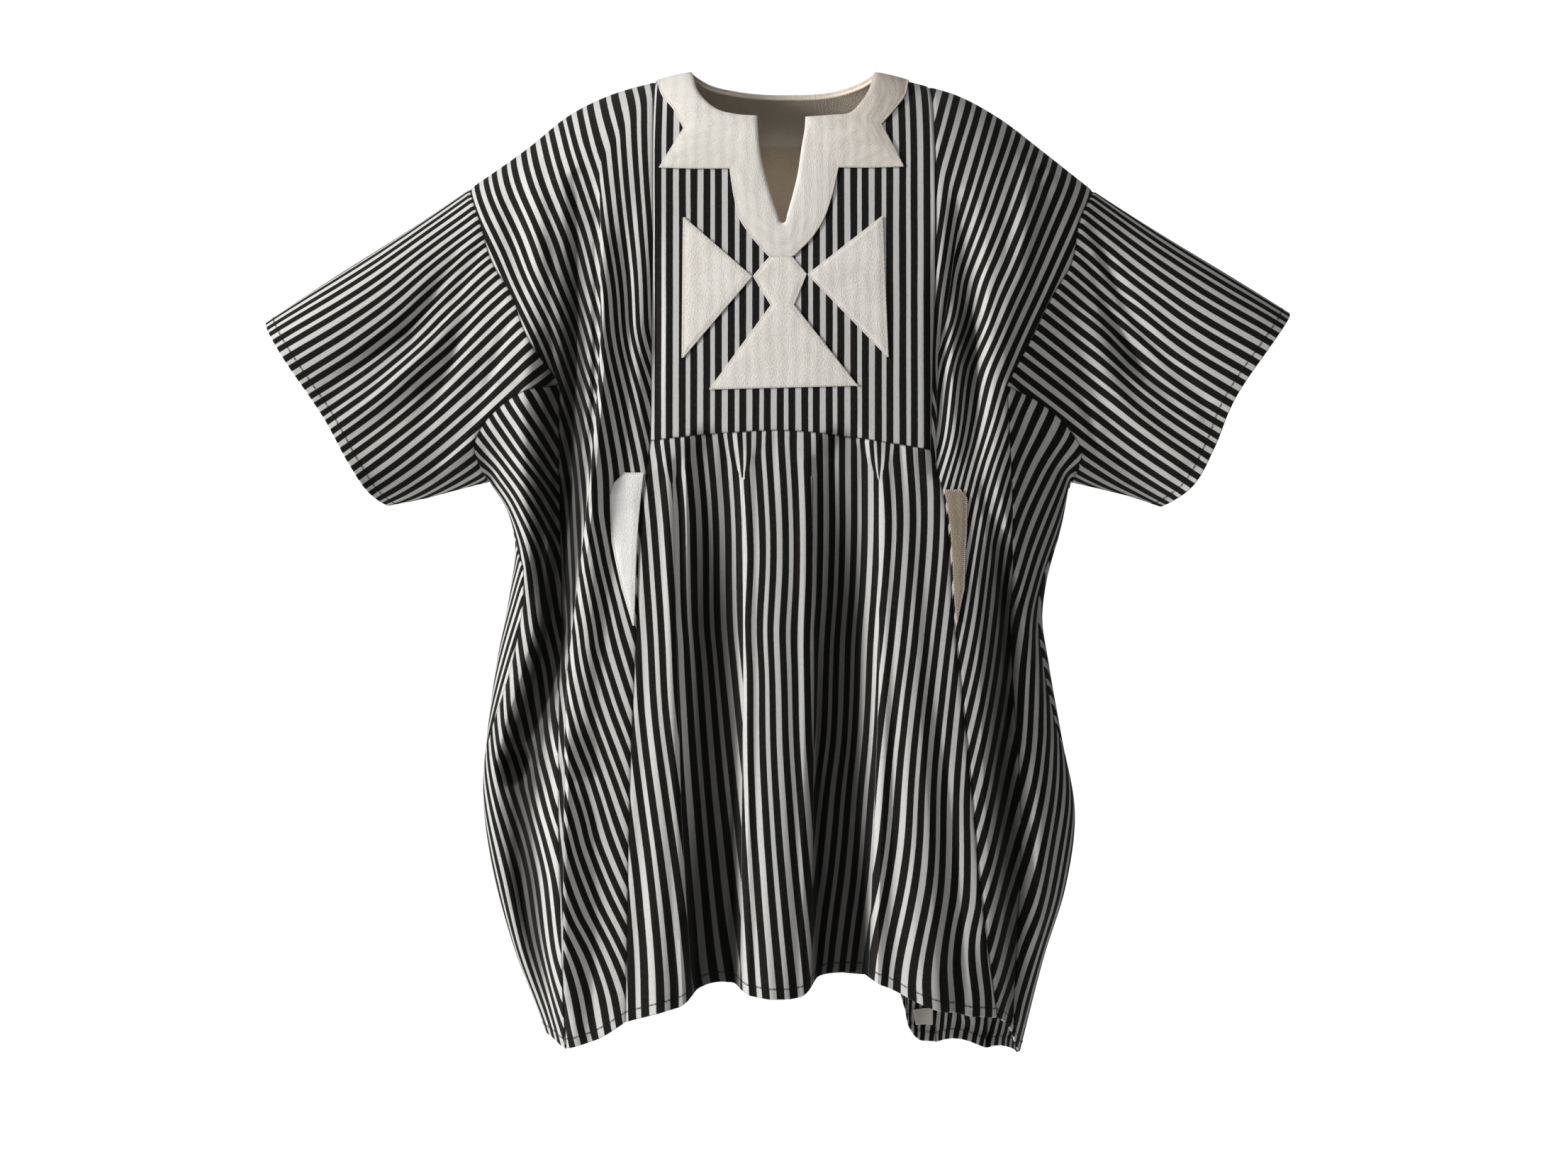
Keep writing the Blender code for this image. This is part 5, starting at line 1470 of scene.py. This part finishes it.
class SmoothSheet:
    """A smooth surface through scattered heights, bent as little as it can be."""

    scale = 100.0

    def __init__(self, spots: Grid, heights: Grid, softness: float) -> None:
        """Fits the surface.

        Args:
            spots: Where the heights are known, in x and z.
            heights: The heights there.
            softness: How freely the surface may pass beside them.
        """
        self.spots = spots / self.scale
        level = np.hstack([np.ones((len(spots), 1)), self.spots])
        bent = self.bending(self.spots) + softness * np.eye(len(spots))
        system = np.block([[bent, level], [level.T, np.zeros((3, 3))]])
        self.weights = np.linalg.solve(system, np.concatenate([heights, np.zeros(3)]))

    def bending(self, spots: Grid) -> Grid:
        """How much each known height bends the surface at each spot."""
        gap = ((spots[:, None] - self.spots[None])**2).sum(axis=2)
        return gap * np.log(gap + TINY)

    def at(self, spots: Grid) -> Grid:
        """Heights at spots in x and z."""
        spots = spots / self.scale
        level = np.hstack([np.ones((len(spots), 1)), spots])
        return self.bending(spots) @ self.weights[:-3] + level @ self.weights[-3:]


def follow(points: Grid, node: str, softness: float = 0.2, reach: float = 85.0) -> Grid:
    """Lays stripes along the runs followed down a piece.

    Args:
        points: The piece's grid.
        node: The piece's node, which its runs and roll lines are listed under.
        softness: How freely the stripes may pass beside their runs.
        reach: How far beyond the runs they still bend the stripes.

    Returns:
        How far across the cloth each point lies.
    """
    spots = points[:, :, [0, 2]].reshape(-1, 2)
    level = np.hstack([np.ones((len(spots), 1)), spots])
    total = np.zeros(len(spots))
    for number, runs in enumerate(RUNS[node]):
        marks = np.concatenate([np.reshape(row[1:], (-1, 2)) for row in runs]).astype(float)
        known = np.concatenate([np.full(len(row) // 2, float(row[0])) for row in runs]) * STRIPE
        sheet = SmoothSheet(marks, known, softness).at(spots)
        straight = np.linalg.lstsq(np.hstack([np.ones((len(marks), 1)), marks]), known,
                                   rcond=None)[0]
        nearest = np.linalg.norm(marks[:, None] - spots[None], axis=2).min(axis=0)
        sheet += (level @ straight - sheet) * smooth_step((nearest - reach) / reach)
        if number == 0:
            total = sheet
            continue
        line = np.array(ROLLS[node][number - 1], dtype=float)
        aside = spots[:, 0] - x_at(line, spots[:, 1])
        spread = ROLL_WIDTH + ROLL_FADE * np.maximum(spots[:, 1] - line[0, 1], 0.0)
        total = total + (sheet - total) * smooth_step((aside / spread + 1) / 2)
    return total.reshape(points.shape[:2])


def snap(spots: Grid, rolls: Sequence[Line]) -> Grid:
    """Moves two columns of a grid close to each side of every roll line.

    Args:
        spots: A grid of x and z, with x rising from column to column.
        rolls: The lines, from left to right.

    Returns:
        The grid with its columns moved along their rows.
    """
    anchors, goals = [0], [spots[:, 0, 0]]
    for line in (np.array(roll, dtype=float) for roll in rolls):
        goal = x_at(line, spots[:, :, 1].mean(axis=1))
        column = int(np.abs(spots[:, :, 0] - goal[:, None]).mean(axis=0).argmin())
        column = min(max(column, anchors[-1] + 2), spots.shape[1] - 3)
        for row in range(len(spots)):
            goal[row] = x_at(line, np.interp(goal[row], spots[row, :, 0], spots[row, :, 1]))
        goal = np.clip(goal, spots[:, 1, 0], spots[:, -2, 0])
        anchors += [column, column + 1]
        goals += [goal - ROLL_WIDTH, goal + ROLL_WIDTH]
    anchors = np.array(anchors + [spots.shape[1] - 1])
    goals = np.array(goals + [spots[:, -1, 0]])
    ends = np.searchsorted(anchors, np.arange(spots.shape[1]), side="right")
    ends = ends.clip(1, len(anchors) - 1)
    first, last = anchors[ends - 1], anchors[ends]
    moved = spots.copy()
    for row in range(len(spots)):
        x, z, goal = spots[row, :, 0], spots[row, :, 1], goals[:, row]
        share = (x - x[first]) / np.where(x[last] == x[first], 1.0, x[last] - x[first])
        moved[row, :, 0] = goal[ends - 1] + (goal[ends] - goal[ends - 1]) * share
        moved[row, :, 1] = np.interp(moved[row, :, 0], x, z)
    return moved


@dataclass
class ChestPiece:
    """The chest piece, its neck band and the cut-work laid on it."""

    dresser: Dresser
    step: float = 3.4
    samples: int = 9
    band_columns: int = 10
    yoke_columns: int = 44
    turn: float = 98.0
    stripe_shift: float = 8.25
    band_gap: float = 0.5
    band_wall: float = 1.1
    band_swell: float = 0.7
    band_round: float = 0.6
    lip: Line = ((-5.0, -3.2), (-2.0, -3.2), (0.3, -2.6), (1.5, -1.2), (1.5, 0.4))
    motif_step: float = 2.6
    motif_columns: int = 24
    motif_swell: float = 0.6
    motif_edge: float = 6.0
    tuck: float = 2.2
    tuck_drop: float = 0.55
    motifs: tuple[tuple[str, Line, Line], ...] = (
        ("applique_left", ((-94, -155), (-94.5, -211), (-95, -288)),
         ((-92.5, -155.3), (-28.8, -211), (-93.5, -287.2))),
        ("applique_right", ((93.5, -154.3), (23.8, -209), (98.5, -286.2)),
         ((95, -154), (97, -209), (100, -287))),
        ("applique_centre", ((-11.5, -193.6), (-27.8, -211), (-10.5, -236.8)),
         ((8.5, -193.6), (22.8, -209), (10.5, -236.8))),
        ("applique_base", ((-10.5, -237.6), (-69, -318)), ((10.5, -237.6), (71, -314.5))),
    )

    def rows(self) -> tuple[Grid, Grid, Grid]:
        """The neck line, the band's outer line and the seam opposite, in fine steps."""
        stations = np.array(LEFT.stations + STATIONS_MIDDLE + RIGHT.stations[::-1])
        left, right = (Path(half.inner[Face.FRONT][0]) for half in HALVES)
        bottom = Path(YOKE_BOTTOM)
        lines = [], [], []
        ends, last = len(LEFT.stations) - 1, len(stations) - 1
        for i, (one, other) in enumerate(zip(stations[:-1], stations[1:])):
            path, shares = left, [one[4], other[4]]
            if i >= last - ends:
                path = right
            elif i >= ends:
                path = bottom
                shares = [0.0 if i == ends else one[4], 1.0 if i == last - ends - 1 else other[4]]
            coarse = path.at(np.linspace(*shares, self.samples))
            depths = -coarse[[0, -1], 1]
            turned = depths.min() < self.turn
            arcs = to_arc(depths, self.turn) if turned else depths
            reach = max(abs(arcs[1] - arcs[0]), walk(coarse[None], 1)[0, -1],
                        math.dist(one[2:4], other[2:4]), math.dist(one[:2], other[:2]))
            weights = even(max(3, math.ceil(reach / self.step)))
            fall = depths[1] - depths[0]
            if turned and abs(fall) > TINY and path is not bottom:
                walked = arcs[0] + (arcs[1] - arcs[0]) * weights
                weights = (from_arc(walked, self.turn) - depths[0]) / fall
            weights = weights if i == last - 1 else weights[:-1]
            for line, points in zip(lines, (
                    self.run(stations[:, :2], NECK_CORNERS, i, weights),
                    self.run(stations[:, 2:4], BAND_CORNERS, i, weights),
                    path.at(shares[0] + (shares[1] - shares[0]) * weights))):
                line.append(points)
        neck, band, seam = (np.concatenate(line) for line in lines)
        return neck, band, seam

    @staticmethod
    def run(points: Grid, corners: tuple[int, ...], gap: int, weights: Grid) -> Grid:
        """Points between two stations, on a line that is smooth between its corners."""
        first = max(corner for corner in corners if corner <= gap)
        after = min(corner for corner in corners if corner > gap)
        path = Path(points[first:after + 1])
        knots = path.knots[gap - first:gap - first + 2]
        return path.at(knots[0] + (knots[1] - knots[0]) * weights)

    def band(self, yoke: Grid, normals: Grid) -> Grid:
        """The band's outer face, with a lip turned over the neck edge."""
        cells = slice(0, self.band_columns + 1)
        face, out = yoke[:, cells], normals[:, cells]
        arch = np.sin(math.pi * even(self.band_columns))**self.band_round
        swell = self.band_swell * arch
        laid = face + out * (self.band_gap + self.band_wall + swell)[None, :, None]
        away = unit(face[:, 0] - face[:, 1])
        lip = [face[:, 0] + away * reach + out[:, 0] * rise for reach, rise in self.lip]
        return np.concatenate([np.stack(lip, axis=1), laid], axis=1)

    def motif(self, left: Line, right: Line) -> Grid:
        """Spots of a cut piece between two edges of straight runs."""
        edges = [], []
        for first in range(len(left) - 1):
            falls = [abs(line[first][1] - line[first + 1][1]) for line in (left, right)]
            shares = even(max(4, *(round(fall / self.motif_step) for fall in falls)))
            for edge, line in zip(edges, (left, right)):
                ends = np.array(line[first:first + 2], dtype=float)
                edge.append(across(ends[:1], ends[1:], shares)[0])
        return across(join(*edges[0]), join(*edges[1]), even(self.motif_columns))

    def make(self) -> None:
        """Builds the chest piece, band and cut-work."""
        form, dresser = self.dresser.form, self.dresser
        neck, band, seam = self.rows()
        spots = np.concatenate([
            across(neck, band, even(self.band_columns)),
            across(band, seam, close_to_ends(even(self.yoke_columns), False))[:, 1:]], axis=1)
        on_fold = np.zeros(spots.shape[:2], dtype=bool)
        on_fold[0] = on_fold[-1] = True
        lay = np.stack([spots[:, :, 0] + self.stripe_shift, -spots[:, :, 1]], axis=2)
        yoke = Cloth("yoke_front", form.place(spots, Face.FRONT, on_fold), lay,
                     {"right": Edge.SEAM, "top": Edge.FOLD, "bottom": Edge.FOLD})
        shape = self.band(yoke.points, yoke.normals())
        yoke.sew_edges()
        dresser.hand_over(yoke, dresser.striped)
        lay = np.stack([walk(shape, 1), walk(shape, 0)], axis=2)
        dresser.hand_over(Cloth("neck_band", shape, lay, {"left": Edge.FOLD, "right": Edge.SEAM},
                                wall=self.band_wall), dresser.cream)
        for name, left, right in self.motifs:
            spots, edges, drop = self.motif(left, right), dict(SEWN), 0.0
            if name in ("applique_centre", "applique_base"):
                edges["top"] = Edge.FOLD
            if name == "applique_centre":
                edges["bottom"], drop = Edge.FOLD, self.tuck_drop
                spots[:, :, 1] += np.linspace(self.tuck, -self.tuck, len(spots))[:, None]
            laid = Cloth(name, form.place(spots, Face.FRONT), spots.copy(), edges,
                         wall=self.band_wall)
            swell = self.motif_swell * smooth_step(laid.from_edges(Edge.SEAM) / self.motif_edge)
            laid.lift(self.band_gap + self.band_wall + swell - drop)
            dresser.hand_over(laid, dresser.cream)


@dataclass
class Skirt:
    """The gathered centre skirt."""

    dresser: Dresser
    rows: int = ROWS
    columns: int = 116

    def make(self) -> None:
        """Builds the skirt."""
        down = close_to_ends(even(self.rows), True, False)
        shares = close_to_ends(even(self.columns))
        left, right = (Path(half.inner[Face.FRONT][1]).at(down) for half in HALVES)
        spots = coons(Path(YOKE_BOTTOM).at(shares), Path(HEM_SKIRT).at(shares), left, right)
        points = self.dresser.form.place(snap(spots, ROLLS["skirt_front"]), Face.FRONT)
        self.dresser.striped_piece("skirt_front", points, follow(points, "skirt_front"), HEMMED)


@dataclass
class SidePiece:
    """A side piece from the shoulder to the hem."""

    dresser: Dresser
    half: Half
    face: Face
    slants: Line = ((-300, 0), (-420, 10), (-700, 12), (-940, 10))
    upper_steps: int = 10
    rows: int = ROWS
    columns: int = 46
    turn: float = SHOULDER_TURN

    def spots(self) -> Grid:
        """The piece's grid of spots, from the outer seam to the inner seam."""
        half, inner = self.half, self.half.inner[self.face]
        seam = BACK_SHARES if self.face is Face.BACK else [row[4] for row in half.stations]
        coarse = from_arc(even(len(seam) - 1) * to_arc(ARMHOLE_REACH, self.turn), self.turn)
        upper = finer(coarse / ARMHOLE_REACH, self.upper_steps, ARMHOLE_REACH, self.turn)
        inner_upper = finer(seam, self.upper_steps, YOKE_REACH, self.turn)
        lower = even(self.rows)
        line = np.array(half.shoulder, dtype=float)
        start = np.interp(abs(inner[0][0][0]), np.abs(line[:, 0]), lengthwise(line))
        shares = close_to_ends(even(self.columns))
        return coons(
            Path(half.shoulder).at(1 - (1 - start) * shares),
            Path(half.hem[self.face]).at(shares),
            join(Path(half.armhole).at(upper), Path(half.gore_seam[self.face]).at(lower)),
            join(Path(inner[0]).at(inner_upper), Path(inner[1]).at(lower)))

    def make(self) -> None:
        """Builds the side piece."""
        node, spots = f"side_{self.face.word}_{self.half.name}", self.spots()
        if node in ROLLS:
            flip = slice(None, None, 1 if spots[0, 0, 0] < spots[0, -1, 0] else -1)
            spots = snap(spots[:, flip], ROLLS[node])[:, flip]
        on_fold = np.zeros(spots.shape[:2], dtype=bool)
        on_fold[0] = True
        points = self.dresser.form.place(spots, self.face, on_fold)
        walked = walk(points, 1)
        over = (follow(points, node) if node in RUNS
                else slanted(points, walked[:, -1:] - walked, self.slants))
        self.dresser.striped_piece(node, points, over, {**HEMMED, "top": Edge.FOLD})


@dataclass
class Gores:
    """The front and back gores of one side, which meet at the side seam."""

    dresser: Dresser
    half: Half
    slants: Line = ((-300, 40), (-420, 30), (-520, 22), (-940, 17))
    rows: int = ROWS
    columns: int = 34
    outline_steps: int = 400
    turn: float = SIDE_TURN
    rise: float = 1.7
    bow_fade: float = 9.0
    foot_start: float = 0.94
    foot_blend: float = 0.06

    def reader(self, fold: Grid, inner: Grid, top: Line) -> Callable[[int, Grid], Grid]:
        """A function that reads spots by row and by walk in from the fold line."""
        path = Path(top[::-1])

        def plain(row: int, shares: Grid) -> Grid:
            """A row that leaves the fold level and rises to the inner seam."""
            return fold[row] + (inner[row] - fold[row]) * np.stack([shares, shares**self.rise],
                                                                   axis=1)

        def read(row: int, arcs: Grid) -> Grid:
            """Spots of a row, with the top seam's bow fading from row to row."""
            shares = from_arc(np.abs(arcs), self.turn) / np.linalg.norm(inner[row] - fold[row])
            bow = path.at(shares) - plain(0, shares)
            return plain(row, shares) + bow * (1 - row / self.rows)**self.bow_fade

        return read

    def make(self) -> None:
        """Builds both gores."""
        half, form = self.half, self.dresser.form
        line = Path(half.side).at(even(self.outline_steps))
        down = even(self.rows)
        foot = half.foot[Face.FRONT]
        folds, reach, read = {}, {}, {}
        for face in Face:
            lower = smooth_step((down - self.foot_start) / self.foot_blend)
            heights = line[0, 1] + (foot - line[0, 1]) * down + (half.foot[face] - foot) * lower
            fold = np.stack([x_at(line, heights), heights], axis=1)
            inner = Path(half.gore_seam[face]).at(down)
            folds[face] = fold
            reach[face] = to_arc(np.linalg.norm(inner - fold, axis=1), self.turn)
            read[face] = self.reader(fold, inner, half.gore_top[face])
        seam = to_arc(read_table(half.side_seam, folds[Face.FRONT][:, 1]), self.turn)
        shares, gap = close_to_ends(even(self.columns)), SEAM_GAP / 2
        spots = np.empty((self.rows + 1, len(shares), 2))
        behind = np.empty_like(spots)
        ahead = np.zeros(spots.shape[:2], dtype=bool)
        for row in range(self.rows + 1):
            front, back = reach[Face.FRONT][row], reach[Face.BACK][row]
            arcs = seam[row] + gap + (front - seam[row] - gap) * shares
            spots[row] = read[Face.FRONT](row, arcs)
            arcs = -back + (back + seam[row] - gap) * shares
            ahead[row] = arcs > 0
            behind[row] = np.where(ahead[row][:, None], read[Face.FRONT](row, arcs),
                                   read[Face.BACK](row, arcs))
        on_fold = np.zeros(spots.shape[:2], dtype=bool)
        on_fold[:, 0] = seam < 1
        front = form.place(spots, Face.FRONT, on_fold)
        back = np.where(ahead[:, :, None], form.place(behind, Face.FRONT, on_fold[:, ::-1]),
                        form.place(behind, Face.BACK, on_fold[:, ::-1]))
        node = f"gore_front_{half.name}"
        over = follow(front, node) - form.curl(front, self.turn) * TURNED
        self.dresser.striped_piece(node, front, over, HEMMED)
        node = f"gore_back_{half.name}"
        if node in RUNS:
            flat, curl = back.copy(), form.curl(back, self.turn)
            beyond = 2 * folds[Face.FRONT][:, :1] - back[:, :, 0]
            flat[:, :, 0] = np.where(ahead, back[:, :, 0], beyond)
            over = follow(flat, node) + np.where(ahead, curl, -curl) * TURNED
        else:
            extra = walk(back, 1) - walk(back * np.array([1.0, 0.0, 1.0]), 1)
            over = slanted(back, np.abs(back[:, :, 0]) + extra, self.slants)
        self.dresser.striped_piece(node, back, over, HEMMED, hollow=np.zeros(back.shape[:2]))


@dataclass
class Sleeve:
    """A wide short sleeve, one piece round the arm."""

    dresser: Dresser
    half: Half
    upper_rows: int = 10
    gore_rows: int = 8
    steps: int = 9
    columns: int = 66
    cuff_split: float = 0.42
    corner_bow: float = 16.0
    corner_reach: float = 5.0
    turn: float = 62.0
    softness: float = 1.5

    def spots(self, face: Face) -> Grid:
        """Spots of the front or back half, from the top fold to the underarm fold."""
        half, gore_top = self.half, self.half.gore_top[face]
        shares = close_to_ends(even(self.columns), True, False)
        above, below = even(self.upper_rows * self.steps), even(self.gore_rows * self.steps)
        armhole = from_arc(above * to_arc(ARMHOLE_REACH, SHOULDER_TURN), SHOULDER_TURN)
        wide = float(np.linalg.norm(np.subtract(gore_top[-1], gore_top[0])))
        gore = 1 - (from_arc(below * to_arc(wide, SIDE_TURN), SIDE_TURN) / wide)[::-1]
        cuff = Path(half.cuff)
        middle = to_arc(cuff.length / 2, self.turn)
        arcs = join(above * self.cuff_split, 1 - (1 - self.cuff_split) * below[::-1]) * 2 * middle
        ring = np.where(arcs <= middle, from_arc(arcs, self.turn),
                        cuff.length - from_arc(2 * middle - arcs, self.turn)) / cuff.length
        body = join(Path(half.armhole).at(armhole / ARMHOLE_REACH), Path(gore_top).at(gore))
        spots = coons(Path(half.sleeve_top).at(shares), Path(half.sleeve_bottom).at(shares),
                      body, cuff.at(ring))
        away = np.abs(np.arange(len(spots)) / self.steps - self.upper_rows) / self.corner_reach
        rise = self.corner_bow * (1 - smooth_step(away))[:, None] * np.sin(math.pi * shares)
        return spots + np.stack([np.zeros_like(rise), rise], axis=2)

    def make(self) -> None:
        """Builds the sleeve."""
        form, node = self.dresser.form, f"sleeve_{self.half.name}"
        front, back = self.spots(Face.FRONT), self.spots(Face.BACK)
        rows = len(front)
        on_fold = np.zeros(front.shape[:2], dtype=bool)
        on_fold[0] = on_fold[-1] = True
        points = np.concatenate([form.place(front, Face.FRONT, on_fold)[::-1],
                                 form.place(back, Face.BACK, on_fold)[1:]])
        top = np.array(self.half.sleeve_top, dtype=float)
        axis = unit(np.insert(top[-1] - top[0], 1, 0.0))
        steps = np.diff(points, axis=0)
        square = np.linalg.norm(steps - (steps @ axis)[:, :, None] * axis, axis=2)
        walked = np.insert(np.cumsum(square, axis=0), 0, 0.0, axis=0)
        around = walked[rows - 1] - walked
        curl = form.curl(points[:rows], self.turn)
        curl = (curl.max() - curl) * TURNED
        curl[rows // 2:] *= -1
        over = follow(points[:rows], node, self.softness) + curl
        pulled = over[-1] - around[rows - 1]
        over = np.concatenate([over, around[rows:] + pulled])
        self.dresser.striped_piece(node, points, over, {**SEWN, "right": Edge.HEM}, along=1)


@dataclass
class Back:
    """The centre back, with its neck band, facing, lining and hem patch."""

    dresser: Dresser
    upper_steps: int = 10
    rows: int = ROWS
    shoulder_columns: int = 2
    neck_columns: int = 10
    steps: int = 8
    turn: float = SHOULDER_TURN
    lip: float = 1.8
    band_rows: int = 3
    facing_rows: int = 4
    lining_rows: int = 10
    band_rise: float = 1.7
    lining_rise: float = -1.8
    trim_wall: float = 1.1
    patch_top: Line = ((133, -941), (156, -941))
    patch_foot: Line = ((136, -957), (156, -958))
    patch_rise: float = -2.4
    patch_wall: float = 1.0

    def make(self) -> None:
        """Builds the back and what is sewn to it."""
        dresser = self.dresser
        upper = finer(BACK_SHARES, self.upper_steps, YOKE_REACH, self.turn)
        side = even(self.shoulder_columns * self.steps)
        corners = [half.inner[Face.BACK][0][0] for half in HALVES]
        top = join(Path((corners[0], NECK_BACK[0])).at(side),
                   Path(NECK_BACK).at(even(self.neck_columns * self.steps)),
                   Path((NECK_BACK[-1], corners[1])).at(side))
        left, right = (join(Path(above).at(upper), Path(below).at(even(self.rows)))
                       for above, below in (half.inner[Face.BACK] for half in HALVES))
        columns = (2 * self.shoulder_columns + self.neck_columns) * self.steps
        spots = coons(top, Path(HEM_BACK).at(even(columns)), left, right)
        on_fold = np.zeros(spots.shape[:2], dtype=bool)
        edge = self.shoulder_columns * self.steps + 1
        on_fold[0, :edge] = on_fold[0, -edge:] = True
        points = dresser.form.place(spots, Face.BACK, on_fold)
        walked = walk(points, 1)
        lay = np.stack([walked - walked[:, columns // 2][:, None], walk(points, 0)], axis=2)
        cloth = Cloth("back_centre", points, lay, {**HEMMED, "top": Edge.FOLD})
        normals = cloth.normals()
        cloth.sew_edges()
        dresser.hand_over(cloth, dresser.striped)
        band, facing, lining = (count * self.upper_steps for count in (
            self.band_rows, self.facing_rows, self.lining_rows))
        for node, first, last, inset, rise, material in (
                ("neck_band_back", 0, band, 0, self.band_rise, dresser.cream),
                ("neck_facing_back", 0, facing, 1, self.lining_rise, dresser.facing),
                ("yoke_lining_back", facing, lining, 2, self.lining_rise, dresser.lining)):
            inset *= self.steps
            part = (slice(first, last + 1), slice(inset, columns + 1 - inset))
            shape = points[part] + normals[part] * rise
            if first == 0:
                shape[0, :, 2] += self.lip
            dresser.hand_over(Cloth(node, shape, lay[part].copy(), {"bottom": Edge.SEAM},
                                    wall=self.trim_wall), material)
        spots = across(Path(self.patch_top).at(even(10)), Path(self.patch_foot).at(even(10)),
                       even(8))
        patch = Cloth("hem_patch_back", dresser.form.place(spots, Face.BACK), spots.copy(), {},
                      wall=self.patch_wall)
        patch.lift(self.patch_rise)
        dresser.hand_over(patch, dresser.cream)


@dataclass
class PocketWelt:
    """A cream welt at a pocket mouth, tapered to its foot beside the skirt seam."""

    dresser: Dresser
    half: Half
    rows: int = 60
    columns: int = 14
    inset: float = 2.0
    wall: float = 1.1
    rise: float = 1.9
    swell: float = 0.5
    swell_edge: float = 5.0

    def make(self) -> None:
        """Builds the welt."""
        half, seam = self.half, self.half.inner[Face.FRONT][1]
        line, shares = Path(seam).at(even(self.rows)), even(self.rows)
        top, foot = half.welt_ends
        heights = top + (foot - top) * shares
        widths = read_table(half.welt, shares)
        out = math.copysign(1.0, seam[0][0])
        near = x_at(line, heights) + out * self.inset
        spots = across(np.stack([near, heights], axis=1),
                       np.stack([near + out * (widths - self.inset), heights], axis=1),
                       even(self.columns))
        edges = {edge: Edge.SEAM for edge in ("top", "left", "right")}
        cloth = Cloth(f"pocket_welt_{half.name}", self.dresser.form.place(spots, Face.FRONT),
                      spots.copy(), edges, wall=self.wall)
        depth = cloth.points[:, :, 1]
        bridge = depth[:, :1] + (depth[:, -1:] - depth[:, :1]) * even(self.columns)
        cloth.points[:, :, 1] = np.minimum(depth, bridge)
        sewn = cloth.from_edges(Edge.SEAM)
        cloth.lift(self.rise + self.swell * smooth_step(sewn / self.swell_edge))
        # The left welt takes the lighter copy with painted light, the right one the darker copy
        # with painted shade
        self.dresser.hand_over(cloth, self.dresser.bright if half is LEFT else self.dresser.beige_shaded)


@dataclass(frozen=True)
class Lamp:
    """A round soft light: where it hangs, what it aims at, its width and its watts."""

    name: str
    place: tuple[float, float, float]
    aim: tuple[float, float, float]
    size: float
    power: float

    def hang(self) -> None:
        """Puts the light in the scene."""
        lamp = bpy.data.lights.new(self.name, "AREA")
        lamp.shape, lamp.size, lamp.energy = "DISK", self.size, self.power
        light = link(self.name, lamp)
        light.location = self.place
        toward = unit(np.subtract(self.aim, self.place))
        light.rotation_euler = (math.acos(-toward[2]), 0.0,
                                math.atan2(toward[0], -toward[1]) + math.pi)


@dataclass
class Studio:
    """Pale floor, soft lights and the camera at the photograph's view."""

    eye: tuple[float, float, float] = (0.0014, -2.4, -0.5058)
    view_width: float = 1.548
    sensor: float = 36.0
    ambient: float = 0.075
    backdrop: float = 1.05
    lamps: tuple[Lamp, ...] = (
        Lamp("key_left", (-3.4, -1.65, 0.5), (0, 0, -0.5), 0.8, 172.0),
        Lamp("fill_front", (-1.4, -3.0, 0.4), (0, 0, -0.5), 2.0, 7.0),
        Lamp("soft_back", (0.3, 3.2, 0.6), (0, 0, -0.5), 2.0, 34.0),
        Lamp("top_neck", (-0.1, -1.1, 1.25), (0, 0.05, -0.15), 0.4, 8.0),
    )

    def make(self) -> None:
        """Sets up the floor, lights, surround and camera."""
        PaleFloor().make()
        scene = bpy.context.scene
        camera = link("camera", bpy.data.cameras.new("camera"))
        camera.location = self.eye
        camera.rotation_euler = (math.pi / 2, 0.0, 0.0)
        camera.data.sensor_width = self.sensor
        camera.data.lens = self.sensor * -self.eye[1] / self.view_width
        scene.camera = camera
        scene.world = bpy.data.worlds.new("white_surround")
        scene.world.use_nodes = True
        bench = Bench(scene.world.node_tree)
        seen = bench.node("ShaderNodeLightPath").outputs["Is Camera Ray"]
        strength = bench.node("ShaderNodeMapRange", {}, {
            "To Min": self.ambient, "To Max": self.backdrop, "Value": seen})
        surround = bench.tree.nodes["Background"]
        bench.put(surround.inputs[0], WHITE)
        bench.put(surround.inputs[1], strength.outputs[0])
        scene.view_settings.view_transform = "Standard"
        for lamp in self.lamps:
            lamp.hang()


def main() -> None:
    """Makes every piece of the smock and its studio."""
    logging.basicConfig(level=logging.INFO, format="%(message)s")
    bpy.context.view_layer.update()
    Studio().make()
    dresser = Dresser(WornForm())
    ChestPiece(dresser).make()
    Skirt(dresser).make()
    for face in Face:
        for half in HALVES:
            SidePiece(dresser, half, face).make()
    Back(dresser).make()
    for kind in (Gores, Sleeve, PocketWelt):
        for half in HALVES:
            kind(dresser, half).make()
    dresser.sew()


if __name__ == "__main__":
    main()
